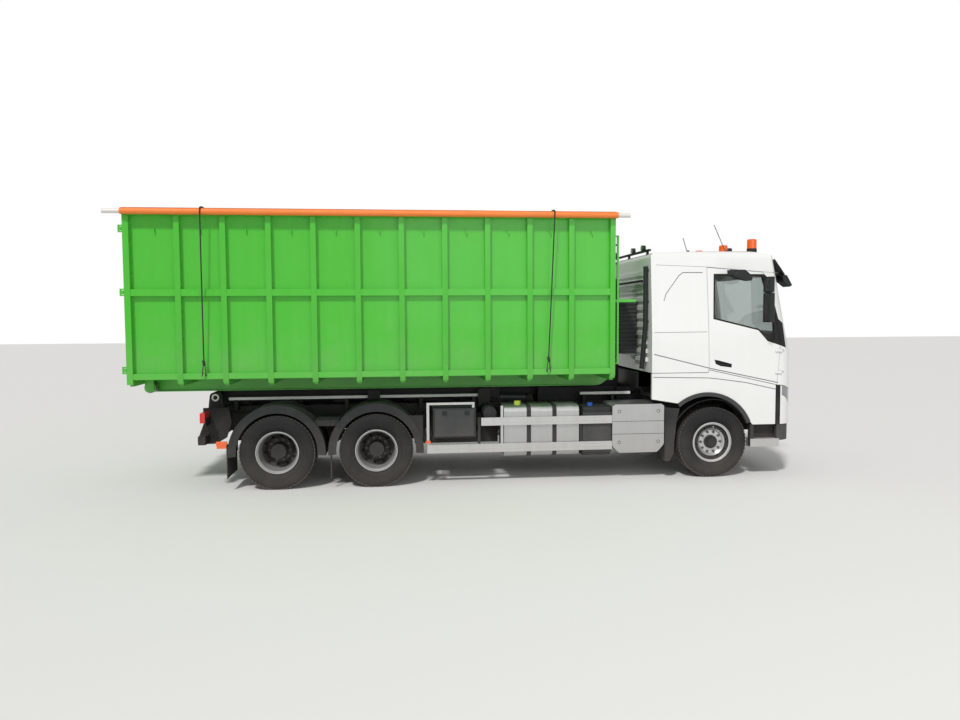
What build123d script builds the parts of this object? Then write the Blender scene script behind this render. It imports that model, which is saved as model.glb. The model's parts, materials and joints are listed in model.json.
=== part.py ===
from build123d import *
import os
from math import atan2, cos, hypot, radians, sin, sqrt, tan

# Hook-lift refuse truck with its roll-off container.
# Millimetres. +X is forward, +Y is the truck's left, +Z is up, and the ground is Z = 0.
# The origin is on the ground at the middle of the overall length.

os.makedirs("parts", exist_ok=True)

# Whole vehicle
HALF_LENGTH = 4900.0
CAB_HALF_WIDTH = 1240.0
CONTAINER_HALF_WIDTH = 1275.0
FRONT_AXLE_X = 3590.0
DRIVE_AXLE_X = -1350.0
TAG_AXLE_X = -2720.0
HUB_HEIGHT = 520.0

# Wheels: 315/80 R22.5 tyres, twins on both rear axles
TYRE_RADIUS = 520.0
TYRE_WIDTH = 315.0
RIM_RADIUS = 297.0
BEAD_RADIUS = 290.0
BEAD_OFFSET = 116.0
FRONT_WHEEL_Y = 1045.0
TWIN_MIDDLE_Y = 905.0
TWIN_OFFSET = 175.0
SPINDLE_RADIUS = 40.0
RUNNING_FIT = 0.05
KINGPIN_Y = 865.0
KINGPIN_RADIUS = 25.0
HAND_HOLE_COUNT = 10

# Chassis frame
RAIL_OUTER_Y = 425.0
RAIL_FLANGE = 80.0
RAIL_WEB = 8.0
RAIL_BOTTOM = 734.0
RAIL_TOP = 1000.0
RAIL_REAR_X = -3650.0
RAIL_FRONT_X = 4450.0
# rear coupling flange: four holes
COUPLING_Z = 815.0
COUPLING_HOLES_Y = 160.0
COUPLING_HOLES_Z = 100.0
COUPLING_HOLE_RADIUS = 10.5
CARRIER_PLACES = (-480, 0, 560, 1480, 1700, 1960, 2150, 2750)
TANK_STRAPS_X = (800, 1175)

# Hook lift
TIP_PIVOT_X = -3670.0
TIP_PIVOT_Z = 1248.0
REAR_BLOCK_X = -3540.0
SUBFRAME_TOP = 1090.0
SHAFT_RADIUS = 45.0
ROLLER_RADIUS = 82.0
CYLINDER_Y = 210.0
CYLINDER_RADIUS = 65.0
CYLINDER_PIN_RADIUS = 25.0
CYLINDER_FOOT = (1000.0, 1132.0)
CYLINDER_EYE = (-1200.0, 1182.0)
JIB_HALF_WIDTH = 110.0
MAST_REAR_X = 2300.0
MAST_FRONT_X = 2470.0
HOOK_BAR_X = 2235.0
HOOK_BAR_Z = 2905.0
HOOK_BAR_RADIUS = 28.0

# Container
BOX_REAR_X = -4672.0
BOX_FRONT_X = 2080.0
RUNNER_BOTTOM = 1335.0
RUNNER_TOP = 1515.0
SILL_BOTTOM = 1570.0
BOX_TOP = 3780.0
RAIL_CAP_TOP = 3868.0
RIB_DEPTH = 65.0
RIB_WIDTH = 75.0
RIB_PITCH = 601.6
FIRST_RIB_X = 2040.0
LEAF_HINGE_X = -4717.0
LEAF_HINGE_Y = 1262.0
LEAF_HINGE_HEIGHTS = (1700.0, 2750.0, 3600.0)
# each rope's place on the tube and at its hook
ROPE_PLACES = ((-3636.0, -3657.0), (1173.0, 1103.0))
ROPE_RADIUS = 9.0
ROPE_END_Z = 1800.0
ROPE_START_Y = -1240.0
ROPE_END_Y = -1282.0
TRIANGLE_BAR_TOP = 1626.0
TUBE_RADIUS = 45.0
TUBE_Y = -1326.0
TUBE_Z = 3825.0

# Cab: tilt axis, skin and door line
TILT_AXIS_X = 4560.0
TILT_AXIS_Z = 960.0
TILT_PIN_RADIUS = 20.0
CAB_SPLIT_RADIUS = 410.0
BUMPER_SPLIT_RADIUS = 400.0
CAB_WALL = 55.0
CAB_REAR_X = 2628.0
CAB_FRONT_X = 4900.0
CORNER_FRONT_X = 4831.0
CORNER_RADIUS = 250.0
LEAN_START_Z = 1790.0
WINDSCREEN_LEAN = 0.2
BOW_RADIUS = 7137.0
VISOR_ARC = 17.0
PANEL_GAP = 6.0
FLOOR_HALF_WIDTH = 1179.0
DOOR_HINGE_X = 4603.0
DOOR_HINGE_Y = -1256.0
HINGE_HEIGHTS = (1560.0, 1880.0)


def block(x0, x1, y0, y1, z0, z1):
    """A box between two corners."""
    return Pos((x0 + x1) / 2, (y0 + y1) / 2, (z0 + z1) / 2) * Box(x1 - x0, y1 - y0, z1 - z0)


def outline(points, corners=None):
    """A flat shape from its corner points; corners gives a radius for each chosen point."""
    face = make_face(Polyline(*points, close=True))
    for (u, v), radius in (corners or {}).items():
        vertex = min(face.vertices(), key=lambda p: hypot(p.X - u, p.Y - v))
        face = fillet(vertex, radius)
    return face


def side_slab(face, y0, y1):
    """A shape drawn in side view as (x, z), thick from y0 to y1."""
    return extrude(Plane.XZ.offset(-y0) * face, amount=-(y1 - y0))


def front_slab(face, x0, x1):
    """A shape drawn in front view as (y, z), thick from x0 to x1."""
    return extrude(Plane.YZ.offset(x0) * face, amount=x1 - x0)


def plan_slab(face, z0, z1):
    """A shape drawn in plan as (x, y), thick from z0 to z1."""
    return extrude(Plane.XY.offset(z0) * face, amount=z1 - z0)


def cross_rod(x, z, y0, y1, radius):
    """A round bar across the truck."""
    return Pos(x, (y0 + y1) / 2, z) * Cylinder(radius, abs(y1 - y0), rotation=(90, 0, 0))


def bar_between(start, end, radius):
    """A round bar from one point to another."""
    a = Vector(*start)
    b = Vector(*end)
    return extrude(Plane(origin=a, z_dir=b - a) * Circle(radius), amount=(b - a).length)


def ring(x, z, inner, outer, first, last, y0, y1):
    """Part of a flat ring about a cross axis, between two angles in degrees from forward to up."""
    arcs = []
    for radius in (outer, inner):
        a = [(x + radius * cos(radians(t)), z + radius * sin(radians(t))) for t in
             (first, (first + last) / 2, last)]
        arcs.append(a)
    edges = [
        ThreePointArc(*arcs[0]),
        Line(arcs[0][2], arcs[1][2]),
        ThreePointArc(*arcs[1]),
        Line(arcs[1][0], arcs[0][0]),
    ]
    return side_slab(make_face(edges), y0, y1)


def both(shape):
    """The piece and its mirror image on the truck's other side."""
    return group(shape, mirror(shape, about=Plane.XZ))


def group(*shapes):
    """Separate solids that share a node."""
    return Compound(children=[solid for shape in shapes for solid in shape.solids()])


def wheel_turned(profile, x, y):
    """A ring turned about the axle; profile is (radius, distance outboard of y) on the right side."""
    face = make_face(Polyline(*[(r, -w) for r, w in profile], close=True))
    return Pos(x, y, HUB_HEIGHT) * revolve(face, axis=Axis.Y)


# Wheels

def tyre(x, y):
    half = TYRE_WIDTH / 2
    side = [(BEAD_RADIUS, half - 42), (345, half - 6), (440, half), (TYRE_RADIUS, half - 42)]
    return wheel_turned(side + [(r, -w) for r, w in reversed(side)], x, y)


def rim_edge(w, outboard):
    """The flange over one bead: w is the bead's edge, outboard is +1 or -1."""
    return [(282, w + 1 * outboard), (286, w + 15 * outboard), (RIM_RADIUS, w + 14 * outboard),
            (RIM_RADIUS, w + 6 * outboard), (BEAD_RADIUS - 0.5, w)]


def front_rim(x, y):
    """Steel wheel whose disc bulges outboard, with its hub cap and hand holes."""
    face_side = [(0, 110), (64, 110), (66, 56), (170, 56), (206, 92), (246, 88), (264, 112)]
    back = [(268, -112), (262, 60), (240, 72), (208, 76), (174, 40),
            (SPINDLE_RADIUS + RUNNING_FIT, 40), (SPINDLE_RADIUS + RUNNING_FIT, 96), (0, 96)]
    profile = face_side + rim_edge(BEAD_OFFSET, 1) + list(reversed(rim_edge(-BEAD_OFFSET, -1))) + back
    rim = wheel_turned(profile, x, y)
    for step in range(HAND_HOLE_COUNT):
        angle = radians(9 + step * 360 / HAND_HOLE_COUNT)
        rim -= cross_rod(x + 224 * cos(angle), HUB_HEIGHT + 224 * sin(angle), y - 120, y - 50, 12)
    return rim


def twin_rim(x, y):
    """Two rims bolted back to back; the disc sits deep inside the outer rim, round the drive hub."""
    hub = [(0, 200), (104, 200), (112, 26)]
    disc = [(172, 26), (208, 62), (246, 80), (266, 272)]
    barrel = rim_edge(TWIN_OFFSET + BEAD_OFFSET, 1)
    barrel += list(reversed(rim_edge(TWIN_OFFSET - BEAD_OFFSET, -1)))
    back = [(264, 62), (240, 60), (212, 46), (176, 0)]
    bore = [(SPINDLE_RADIUS + RUNNING_FIT, 0), (SPINDLE_RADIUS + RUNNING_FIT, 100), (0, 100)]
    rim = wheel_turned(hub + disc + barrel + back + bore, x, y)
    inner = [(118, 26)] + disc + barrel + back + [(118, 0)]
    rim += wheel_turned([(r, -w) for r, w in inner], x, y)
    for step in range(HAND_HOLE_COUNT):
        angle = radians(9 + step * 360 / HAND_HOLE_COUNT)
        rim -= cross_rod(x + 208 * cos(angle), HUB_HEIGHT + 208 * sin(angle), y - 90, y, 22)
    return rim


def left(shape):
    return mirror(shape, about=Plane.XZ)


def rear_wheel(x):
    tyres = group(tyre(x, -TWIN_MIDDLE_Y - TWIN_OFFSET), tyre(x, -TWIN_MIDDLE_Y + TWIN_OFFSET))
    return tyres, twin_rim(x, -TWIN_MIDDLE_Y)


def knuckle():
    """Steering knuckle: a fork on the kingpin, the brake and the wheel's spindle."""
    ears = Cylinder(48, 30) + block(-50, 50, -90, 0, -15, 15)
    body = Pos(FRONT_AXLE_X, -KINGPIN_Y, HUB_HEIGHT + 70) * ears
    body += Pos(FRONT_AXLE_X, -KINGPIN_Y, HUB_HEIGHT - 70) * ears
    body += block(FRONT_AXLE_X - 50, FRONT_AXLE_X + 50, -KINGPIN_Y - 90, -KINGPIN_Y - 55,
                  HUB_HEIGHT - 85, HUB_HEIGHT + 85)
    body += Pos(FRONT_AXLE_X, -KINGPIN_Y, HUB_HEIGHT) * Cylinder(KINGPIN_RADIUS, 170)
    body += cross_rod(FRONT_AXLE_X, HUB_HEIGHT, -FRONT_WHEEL_Y - 94, -KINGPIN_Y - 60, SPINDLE_RADIUS)
    body += cross_rod(FRONT_AXLE_X, HUB_HEIGHT, -FRONT_WHEEL_Y - 30, -KINGPIN_Y - 90, 200)
    return body


# Chassis

def frame_rails():
    """Two channel rails tied by crossmembers; the engine hangs between their front ends."""
    y0 = RAIL_OUTER_Y - RAIL_FLANGE
    channel = outline([
        (y0, RAIL_BOTTOM), (RAIL_OUTER_Y, RAIL_BOTTOM), (RAIL_OUTER_Y, RAIL_TOP), (y0, RAIL_TOP),
        (y0, RAIL_TOP - RAIL_WEB), (RAIL_OUTER_Y - RAIL_WEB, RAIL_TOP - RAIL_WEB),
        (RAIL_OUTER_Y - RAIL_WEB, RAIL_BOTTOM + RAIL_WEB), (y0, RAIL_BOTTOM + RAIL_WEB),
    ])
    rail = front_slab(channel, RAIL_REAR_X, RAIL_FRONT_X)
    frame = rail + mirror(rail, about=Plane.XZ)
    inner = RAIL_OUTER_Y - RAIL_WEB
    high_members = (-3560, -3150, -2320, -1750, -950, -150, 650, 1450, 2250)
    for x in high_members:
        frame += block(x - 30, x + 30, -inner, inner, 840, 960)
    for x in (3260, 3900, 4340):
        frame += block(x - 40, x + 40, -inner, inner, RAIL_BOTTOM + RAIL_WEB, RAIL_BOTTOM + 38)
    for x in CARRIER_PLACES:
        for s in (-1, 1):
            frame += block(x - 25, x + 25, s * 532.5 - 107.5, s * 532.5 + 107.5, 820, 900)
    lamp_board = block(-3700, -3688, -1150, 1150, 900, 1000)
    frame += lamp_board + block(-3700, -3650, -430, 430, RAIL_BOTTOM, RAIL_TOP)
    for y in (-COUPLING_HOLES_Y / 2, COUPLING_HOLES_Y / 2):
        for z in (COUPLING_Z - COUPLING_HOLES_Z / 2, COUPLING_Z + COUPLING_HOLES_Z / 2):
            frame -= Pos(-3675, y, z) * Cylinder(COUPLING_HOLE_RADIUS, 80, rotation=(0, 90, 0))
    underrun = block(-3800, -3700, -1150, 1150, 640, 760)
    hanger = outline([(-3700, 660), (-3700, 1000), (-3500, 1000), (-3500, RAIL_BOTTOM), (-3640, 640),
                      (-3700, 640)])
    for y in (RAIL_OUTER_Y, -RAIL_OUTER_Y - 12):
        frame += side_slab(hanger, y, y + 12)
    for s in (-1, 1):
        frame += block(RAIL_FRONT_X - 60, TILT_AXIS_X + 30, s * 417.5 - 7.5, s * 417.5 + 7.5, 880, 1000)
        frame += cross_rod(TILT_AXIS_X, TILT_AXIS_Z, s * 340, s * 420, TILT_PIN_RADIUS)
    return frame + underrun


def front_axle():
    """Drop beam with kingpin eyes, carried by a leaf spring under each rail."""
    end = KINGPIN_Y
    beam = outline([(-end, 472), (-end, 568), (-640, 568), (-500, 470), (500, 470), (640, 568),
                    (end, 568), (end, 472), (660, 472), (520, 372), (-520, 372), (-660, 472)])
    axle = front_slab(beam, FRONT_AXLE_X - 45, FRONT_AXLE_X + 45)
    for y in (-end, end):
        axle += Pos(FRONT_AXLE_X, y, HUB_HEIGHT) * Cylinder(45, 96)
    for y in (-end, end):
        axle -= Pos(FRONT_AXLE_X, y, HUB_HEIGHT) * Cylinder(KINGPIN_RADIUS + RUNNING_FIT, 200)
    spring_top = [(FRONT_AXLE_X - 800, 640), (FRONT_AXLE_X, 500), (FRONT_AXLE_X + 800, 640)]
    spring_low = [(x, z - 30) for x, z in spring_top]
    leaf = side_slab(make_face([
        ThreePointArc(*spring_top), Line(spring_top[2], spring_low[2]),
        ThreePointArc(*reversed(spring_low)), Line(spring_low[0], spring_top[0])]), 345, 425)
    leaf += block(FRONT_AXLE_X - 820, FRONT_AXLE_X - 770, 345, 425, 612, RAIL_BOTTOM)
    leaf += block(FRONT_AXLE_X + 770, FRONT_AXLE_X + 820, 345, 425, 612, RAIL_BOTTOM)
    leaf += block(FRONT_AXLE_X - 60, FRONT_AXLE_X + 60, 345, 425, 470, 510)
    return axle + leaf + mirror(leaf, about=Plane.XZ)


def rear_axles():
    """Both driven axles with their brakes and chambers, propeller shafts and the bogie's springs."""
    parts = None
    housing = [(0, -700), (75, -700), (75, -280), (215, -120), (215, 120), (75, 280), (75, 700), (0, 700)]
    for x in (DRIVE_AXLE_X, TAG_AXLE_X):
        axle = wheel_turned(housing, x, 0)
        axle += Pos(x + 230, 0, HUB_HEIGHT) * Cylinder(90, 160, rotation=(0, 90, 0))
        for s in (-1, 1):
            axle += cross_rod(x, HUB_HEIGHT, s * 640, s * 840, 195)
            axle += cross_rod(x, HUB_HEIGHT, s * 840, s * (TWIN_MIDDLE_Y + 96), SPINDLE_RADIUS)
            axle += block(x - 70, x + 70, s * 500 - 45, s * 500 + 45, HUB_HEIGHT, 640)
            axle += Pos(x + 145, s * 500, 600) * Cylinder(55, 170, rotation=(0, 90, 0))
        parts = axle if parts is None else parts + axle
    parts += bar_between((DRIVE_AXLE_X - 150, 0, 540), (TAG_AXLE_X + 300, 0, 520), 45)
    parts += bar_between((DRIVE_AXLE_X + 300, 0, HUB_HEIGHT), (2940, 0, 820), 55)
    middle = (DRIVE_AXLE_X + TAG_AXLE_X) / 2
    top = [(DRIVE_AXLE_X + 110, 660), (middle, 730), (TAG_AXLE_X - 110, 660)]
    low = [(DRIVE_AXLE_X + 110, 630), (middle, 650), (TAG_AXLE_X - 110, 630)]
    pack = side_slab(make_face([ThreePointArc(*top), Line(top[2], low[2]),
                                ThreePointArc(*reversed(low)), Line(low[0], top[0])]), 455, 545)
    pack += block(middle - 110, middle + 110, RAIL_OUTER_Y, 560, 560, 900)
    return parts + pack + mirror(pack, about=Plane.XZ)


def engine_block():
    """Engine and gearbox as one closed mass between the rails."""
    shape = outline([(2950, 800), (3250, 785), (4250, 785), (4250, 1300), (3700, 1340), (3250, 1300),
                     (3150, 1080), (2950, 1060)])
    return side_slab(shape, -320, 320)


def tank(x0, x1, y0, y1, z0, z1, radius):
    """A tank with rounded long edges, lying along the truck."""
    face = outline([(y0, z0), (y1, z0), (y1, z1), (y0, z1)],
                   {(y0, z0): radius, (y1, z0): radius, (y1, z1): radius, (y0, z1): radius})
    return front_slab(face, x0, x1)


def fuel_tanks():
    """Aluminium fuel tanks on their straps and the silencer's cover, which ends in a chamfer below."""
    right_tank = tank(470, 1567, -1195, -640, 383, 1118, 90)
    for x in TANK_STRAPS_X:
        right_tank += tank(x, x + 62, -1200, -640, 378, 1123, 92)
    left_tank = mirror(right_tank, about=Plane.XZ)
    right_tank += Pos(690, -1020, 1140) * Cylinder(48, 60)
    shape = outline([(2057, 1085), (2100, 1114), (2790, 1114), (2831, 1085), (2831, 520), (2730, 405),
                     (2160, 405), (2057, 500)],
                    {(2057, 500): 60, (2160, 405): 60, (2730, 405): 60, (2831, 520): 60})
    cover = side_slab(shape, -1225, -640)
    for z in (675, 860):
        cover -= block(2000, 2900, -1230, -1221, z, z + 9)
    for x, z in ((2160, 1010), (2745, 1010), (2160, 560), (2745, 560)):
        cover -= cross_rod(x, z, -1230, -1217, 24)
    return group(right_tank, left_tank, cover)


def chassis_boxes():
    """Toolbox, urea tank and air tanks, with the battery box and more air tanks on the left."""
    toolbox = tank(-547, 64, -1194, -640, 667, 1103, 30)
    toolbox += tank(-520, 37, -1200, -1188, 694, 1076, 4)
    for x in (-420, -95):
        toolbox += block(x, x + 70, -1208, -1199, 1000, 1060)
    urea = tank(1626, 2031, -1190, -640, 372, 1085, 40)
    urea += Pos(1760, -1060, 1105) * Cylinder(42, 50)
    urea += block(1622, 2047, -1199, -1180, 420, 1000)
    reservoir = cross_rod(275, 1010, -1130, -640, 95)
    saddle = block(255, 295, -1100, -RAIL_OUTER_Y, 880, 925)
    battery = tank(-547, 64, 640, 1200, 567, 1103, 30)
    air = None
    for z in (560, 860):
        drum = bar_between((1680, 960, z), (2780, 960, z), 140)
        air = drum if air is None else air + drum
    for x in CARRIER_PLACES[4:]:
        air += block(x - 20, x + 20, 640, 960, 540, 900)
    return group(toolbox, urea, reservoir + saddle, battery, air)


def side_guards():
    """Aluminium side guards: two rails a side on uprights carried from the frame."""
    guard = block(137, 2050, -1238, -1208, 845, 960)
    guard += block(-634, 2050, -1238, -1208, 463, 585)
    for x0, z in ((137, 880), (137, 925), (-634, 501), (-634, 547)):
        guard -= block(x0, 2050, -1240, -1235, z, z + 7)
    guard += block(-640, 45, -1208, -1165, 1150, 1182)
    guard += block(10, 45, -1194, -1130, 1103, 1150)
    for x, top, arm_z in ((-640, 1180, 700), (90, 960, 740), (1577, 960, 740)):
        guard += block(x, x + 38, -1208, -1170, 463, top)
        guard += block(x, x + 38, -1170, -RAIL_OUTER_Y, arm_z, arm_z + 40)
    return both(guard)


def mudguards():
    """Black plastic guards over every wheel, on bars from the frame, and the mudflaps."""
    rear = None
    bar_radius = 14
    for x in (DRIVE_AXLE_X, TAG_AXLE_X):
        guard = ring(x, HUB_HEIGHT, 655, 668, -4, 184, -1245, -620)
        guard += ring(x, HUB_HEIGHT, 636, 668, -4, 184, -1245, -1233)
        for angle in (35, 145):
            bar_x = x + 661 * cos(radians(angle))
            bar_z = HUB_HEIGHT + 661 * sin(radians(angle))
            guard += cross_rod(bar_x, bar_z, -1000, -RAIL_OUTER_Y, bar_radius)
        rear = guard if rear is None else rear + guard
    rear += block(-2200, -1870, -1190, -560, 880, 960)
    inner = ring(FRONT_AXLE_X, HUB_HEIGHT, 636, 646, 14, 166, -1185, -860)
    front_flap = block(2854, 2876, -1200, -880, 261, 1063)
    front_flap += block(2854, 2876, -900, -RAIL_OUTER_Y, 960, 1000)
    inner += cross_rod(FRONT_AXLE_X - 520, HUB_HEIGHT + 386, -1000, -RAIL_OUTER_Y, bar_radius)
    rear_flap = block(-3400, -3388, -1240, -620, 184, 650)
    return both(group(rear, inner, front_flap, rear_flap))


def arch_lips():
    """Grey lip round each front wheel arch."""
    outer = [(4142, 836), (3550, 1270), (3035, 1116)]
    inner = [(4092, 800), (3550, 1212), (3060, 1062)]
    lip = make_face([ThreePointArc(*outer), Line(outer[2], inner[2]), ThreePointArc(*reversed(inner)),
                     Line(inner[0], outer[0])])
    return both(side_slab(lip, -1252, -1190))


def lamps():
    """Tail lamp clusters, amber side markers and the headlamps let into the bumper's corners."""
    tail = block(-3768, -3700, -1150, -850, 945, 1085)
    for y in (-1050, -950):
        tail -= block(-3770, -3764, y - 3, y + 3, 940, 1090)
    marker = block(-655, -585, -1222, -1208, 605, 640)
    rear_marker = block(-3530, -3400, -1236, -1206, 600, 642)
    lens = bumper_shell(45) & headlamp_zone()
    return group(both(group(tail, marker, rear_marker)), lens)


# Cab

def cab_side_face(inset):
    """The cab's outline in side view, drawn in by inset."""
    d = inset
    front_z = TILT_AXIS_Z + sqrt((CAB_SPLIT_RADIUS + d) ** 2 - (CAB_FRONT_X - d - TILT_AXIS_X) ** 2)
    lean = WINDSCREEN_LEAN
    nose_x = CAB_FRONT_X - d
    brow_z = 3215 - d
    brow_x = CAB_FRONT_X - d - lean * (brow_z - LEAN_START_Z)
    start = (TILT_AXIS_X, TILT_AXIS_Z + CAB_SPLIT_RADIUS + d)
    end = (nose_x, front_z)
    a = atan2(start[1] - TILT_AXIS_Z, start[0] - TILT_AXIS_X)
    b = atan2(end[1] - TILT_AXIS_Z, end[0] - TILT_AXIS_X)
    r = CAB_SPLIT_RADIUS + d
    middle = (TILT_AXIS_X + r * cos((a + b) / 2), TILT_AXIS_Z + r * sin((a + b) / 2))
    corners = [
        end, (nose_x, LEAN_START_Z), (brow_x, brow_z), (4480 - d * 0.3, 3290 - d),
        (4150, 3350 - d), (3341, 3340 - d), (CAB_REAR_X + d, 3320 - d), (2640 + d, 1567 + d),
        (3486 + d * 0.1, 1567 + d), (3498 + d * 0.1, 1609 + d), start,
    ]
    face = make_face([Polyline(*corners), ThreePointArc(start, middle, end)])
    for (u, v), radius in (((CAB_REAR_X + d, 3320 - d), 90), ((brow_x, brow_z), 70),
                           ((4480 - d * 0.3, 3290 - d), 200)):
        vertex = min(face.vertices(), key=lambda p: hypot(p.X - u, p.Y - v))
        face = fillet(vertex, radius - d * 0.5)
    return face


def plan_face(half, corner_x, nose_x, radius, shift):
    """A cab's section in plan: straight sides, round front corners and a slightly bowed front."""
    c = corner_x - radius - shift
    k = radius * sqrt(0.5)
    y = half - radius
    edges = [
        Line((2500, -half), (c, -half)),
        ThreePointArc((c, -half), (c + k, -y - k), (c + radius, -y)),
        ThreePointArc((c + radius, -y), (nose_x - shift, 0), (c + radius, y)),
        ThreePointArc((c + radius, y), (c + k, y + k), (c, half)),
        Line((c, half), (2500, half)),
        Line((2500, half), (2500, -half)),
    ]
    return make_face(edges)


def plan_body(inset, z0):
    """The cab's plan section taken up the height, leaning back with the windscreen."""
    d = inset
    args = (CAB_HALF_WIDTH - d, CORNER_FRONT_X - d, CAB_FRONT_X - d, CORNER_RADIUS - d)
    low = plan_slab(plan_face(*args, 0), z0, LEAN_START_Z)
    top_shift = WINDSCREEN_LEAN * (3400 - LEAN_START_Z)
    base = Plane.XY.offset(LEAN_START_Z) * plan_face(*args, 0)
    top = Plane.XY.offset(3400) * plan_face(*args, top_shift)
    return low + loft([base, top], ruled=True)


def cab_solid(inset):
    """The cab's whole outer form, drawn in by inset."""
    d = inset
    eave = 3350 - d
    rounding = 150 - d
    front_face = outline([
        (-CAB_HALF_WIDTH + d, 1000), (-CAB_HALF_WIDTH + d, 2150), (-1172 + d, eave),
        (1172 - d, eave), (CAB_HALF_WIDTH - d, 2150), (CAB_HALF_WIDTH - d, 1000),
    ], {(-1172 + d, eave): rounding, (1172 - d, eave): rounding})
    solid = side_slab(cab_side_face(d), -1300, 1300)
    solid &= front_slab(front_face, 2400, 5000)
    solid &= plan_body(d, 1000)
    return solid


DOOR = [(3472, 3098), (4322, 3028), (4345, 3000), (4505, 2400), (4565, 2100), (4590, 1959),
        (4545, 1373.4), (3507, 1607)]
DOOR_WINDOW = [(3595, 2985), (3583, 2365), (4257, 2200), (4400, 2040), (4500, 2040), (4480, 2380),
               (4320, 2965)]
WINDSCREEN = [(-1090, 1990), (-1030, 2985), (1030, 2985), (1090, 1990)]
GRILLE = [(-800, 1290), (800, 1290), (740, 1740), (-740, 1740)]
HANDLE_RECESS = [(3581, 1751), (3647, 1740), (3848, 1686), (3848, 1632), (3674, 1656), (3600, 1690)]
# pressed lines on each side of the cab: width, depth and the (x, z) points
CREASES = (
    (14, 4, ((2670, 1838), (3517, 1625), (4568, 1400))),
    (7, 4, ((2670, 2155), (3472, 2160))),
    (12, 4, ((2818, 2615), (2850, 2714), (3041, 2975), (3105, 3025), (3404, 3025))),
)
FENDER_CREASE = ((2660, 1504), (3493, 1484), (3677, 1463), (4074, 1407), (4531, 1303))
ROOF_SEAM = [(2500, 3136), (3464, 3108), (4319, 3038), (5000, 3000), (5000, 3500), (2500, 3500)]


def tilt_arms():
    """Arms from the cab floor back down to the tilt pins on the frame."""
    face = outline([(4525, 950), (4595, 970), (4400, 1422), (4300, 1445)])
    arms = None
    for s in (-1, 1):
        y = s * 380
        side = side_slab(face, y - 15, y + 15)
        side += cross_rod(TILT_AXIS_X, TILT_AXIS_Z, y - 15, y + 15, 42)
        side -= cross_rod(TILT_AXIS_X, TILT_AXIS_Z, y - 30, y + 30, TILT_PIN_RADIUS + RUNNING_FIT)
        arms = side if arms is None else arms + side
    return arms


def pressed_line(points, width, y0, y1):
    """A strip through (x, z) points, for cutting a crease into the right side."""
    strip = None
    for (x0, z0), (x1, z1) in zip(points, points[1:]):
        length = hypot(x1 - x0, z1 - z0)
        u, v = (z0 - z1) / length * width / 2, (x1 - x0) / length * width / 2
        run = side_slab(outline([(x0 - u, z0 - v), (x1 - u, z1 - v), (x1 + u, z1 + v), (x0 + u, z0 + v)]),
                        y0, y1)
        strip = run if strip is None else strip + run
    return strip


def grille():
    """Black slatted grille on its backing, let into the cab's front."""
    zone = front_slab(offset(outline(GRILLE), amount=-1, kind=Kind.INTERSECTION), 4700, 5000)
    middle = front_slab(offset(outline(GRILLE), amount=-32, kind=Kind.INTERSECTION), 4600, 5100)
    raised = cab_solid(4) - cab_solid(30)
    piece = (cab_solid(28) - cab_solid(45)) & zone
    piece += (raised & zone) - middle
    for z in range(1345, 1700, 62):
        piece += raised & zone & block(4600, 5000, -900, 900, z, z + 34)
    return piece


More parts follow.
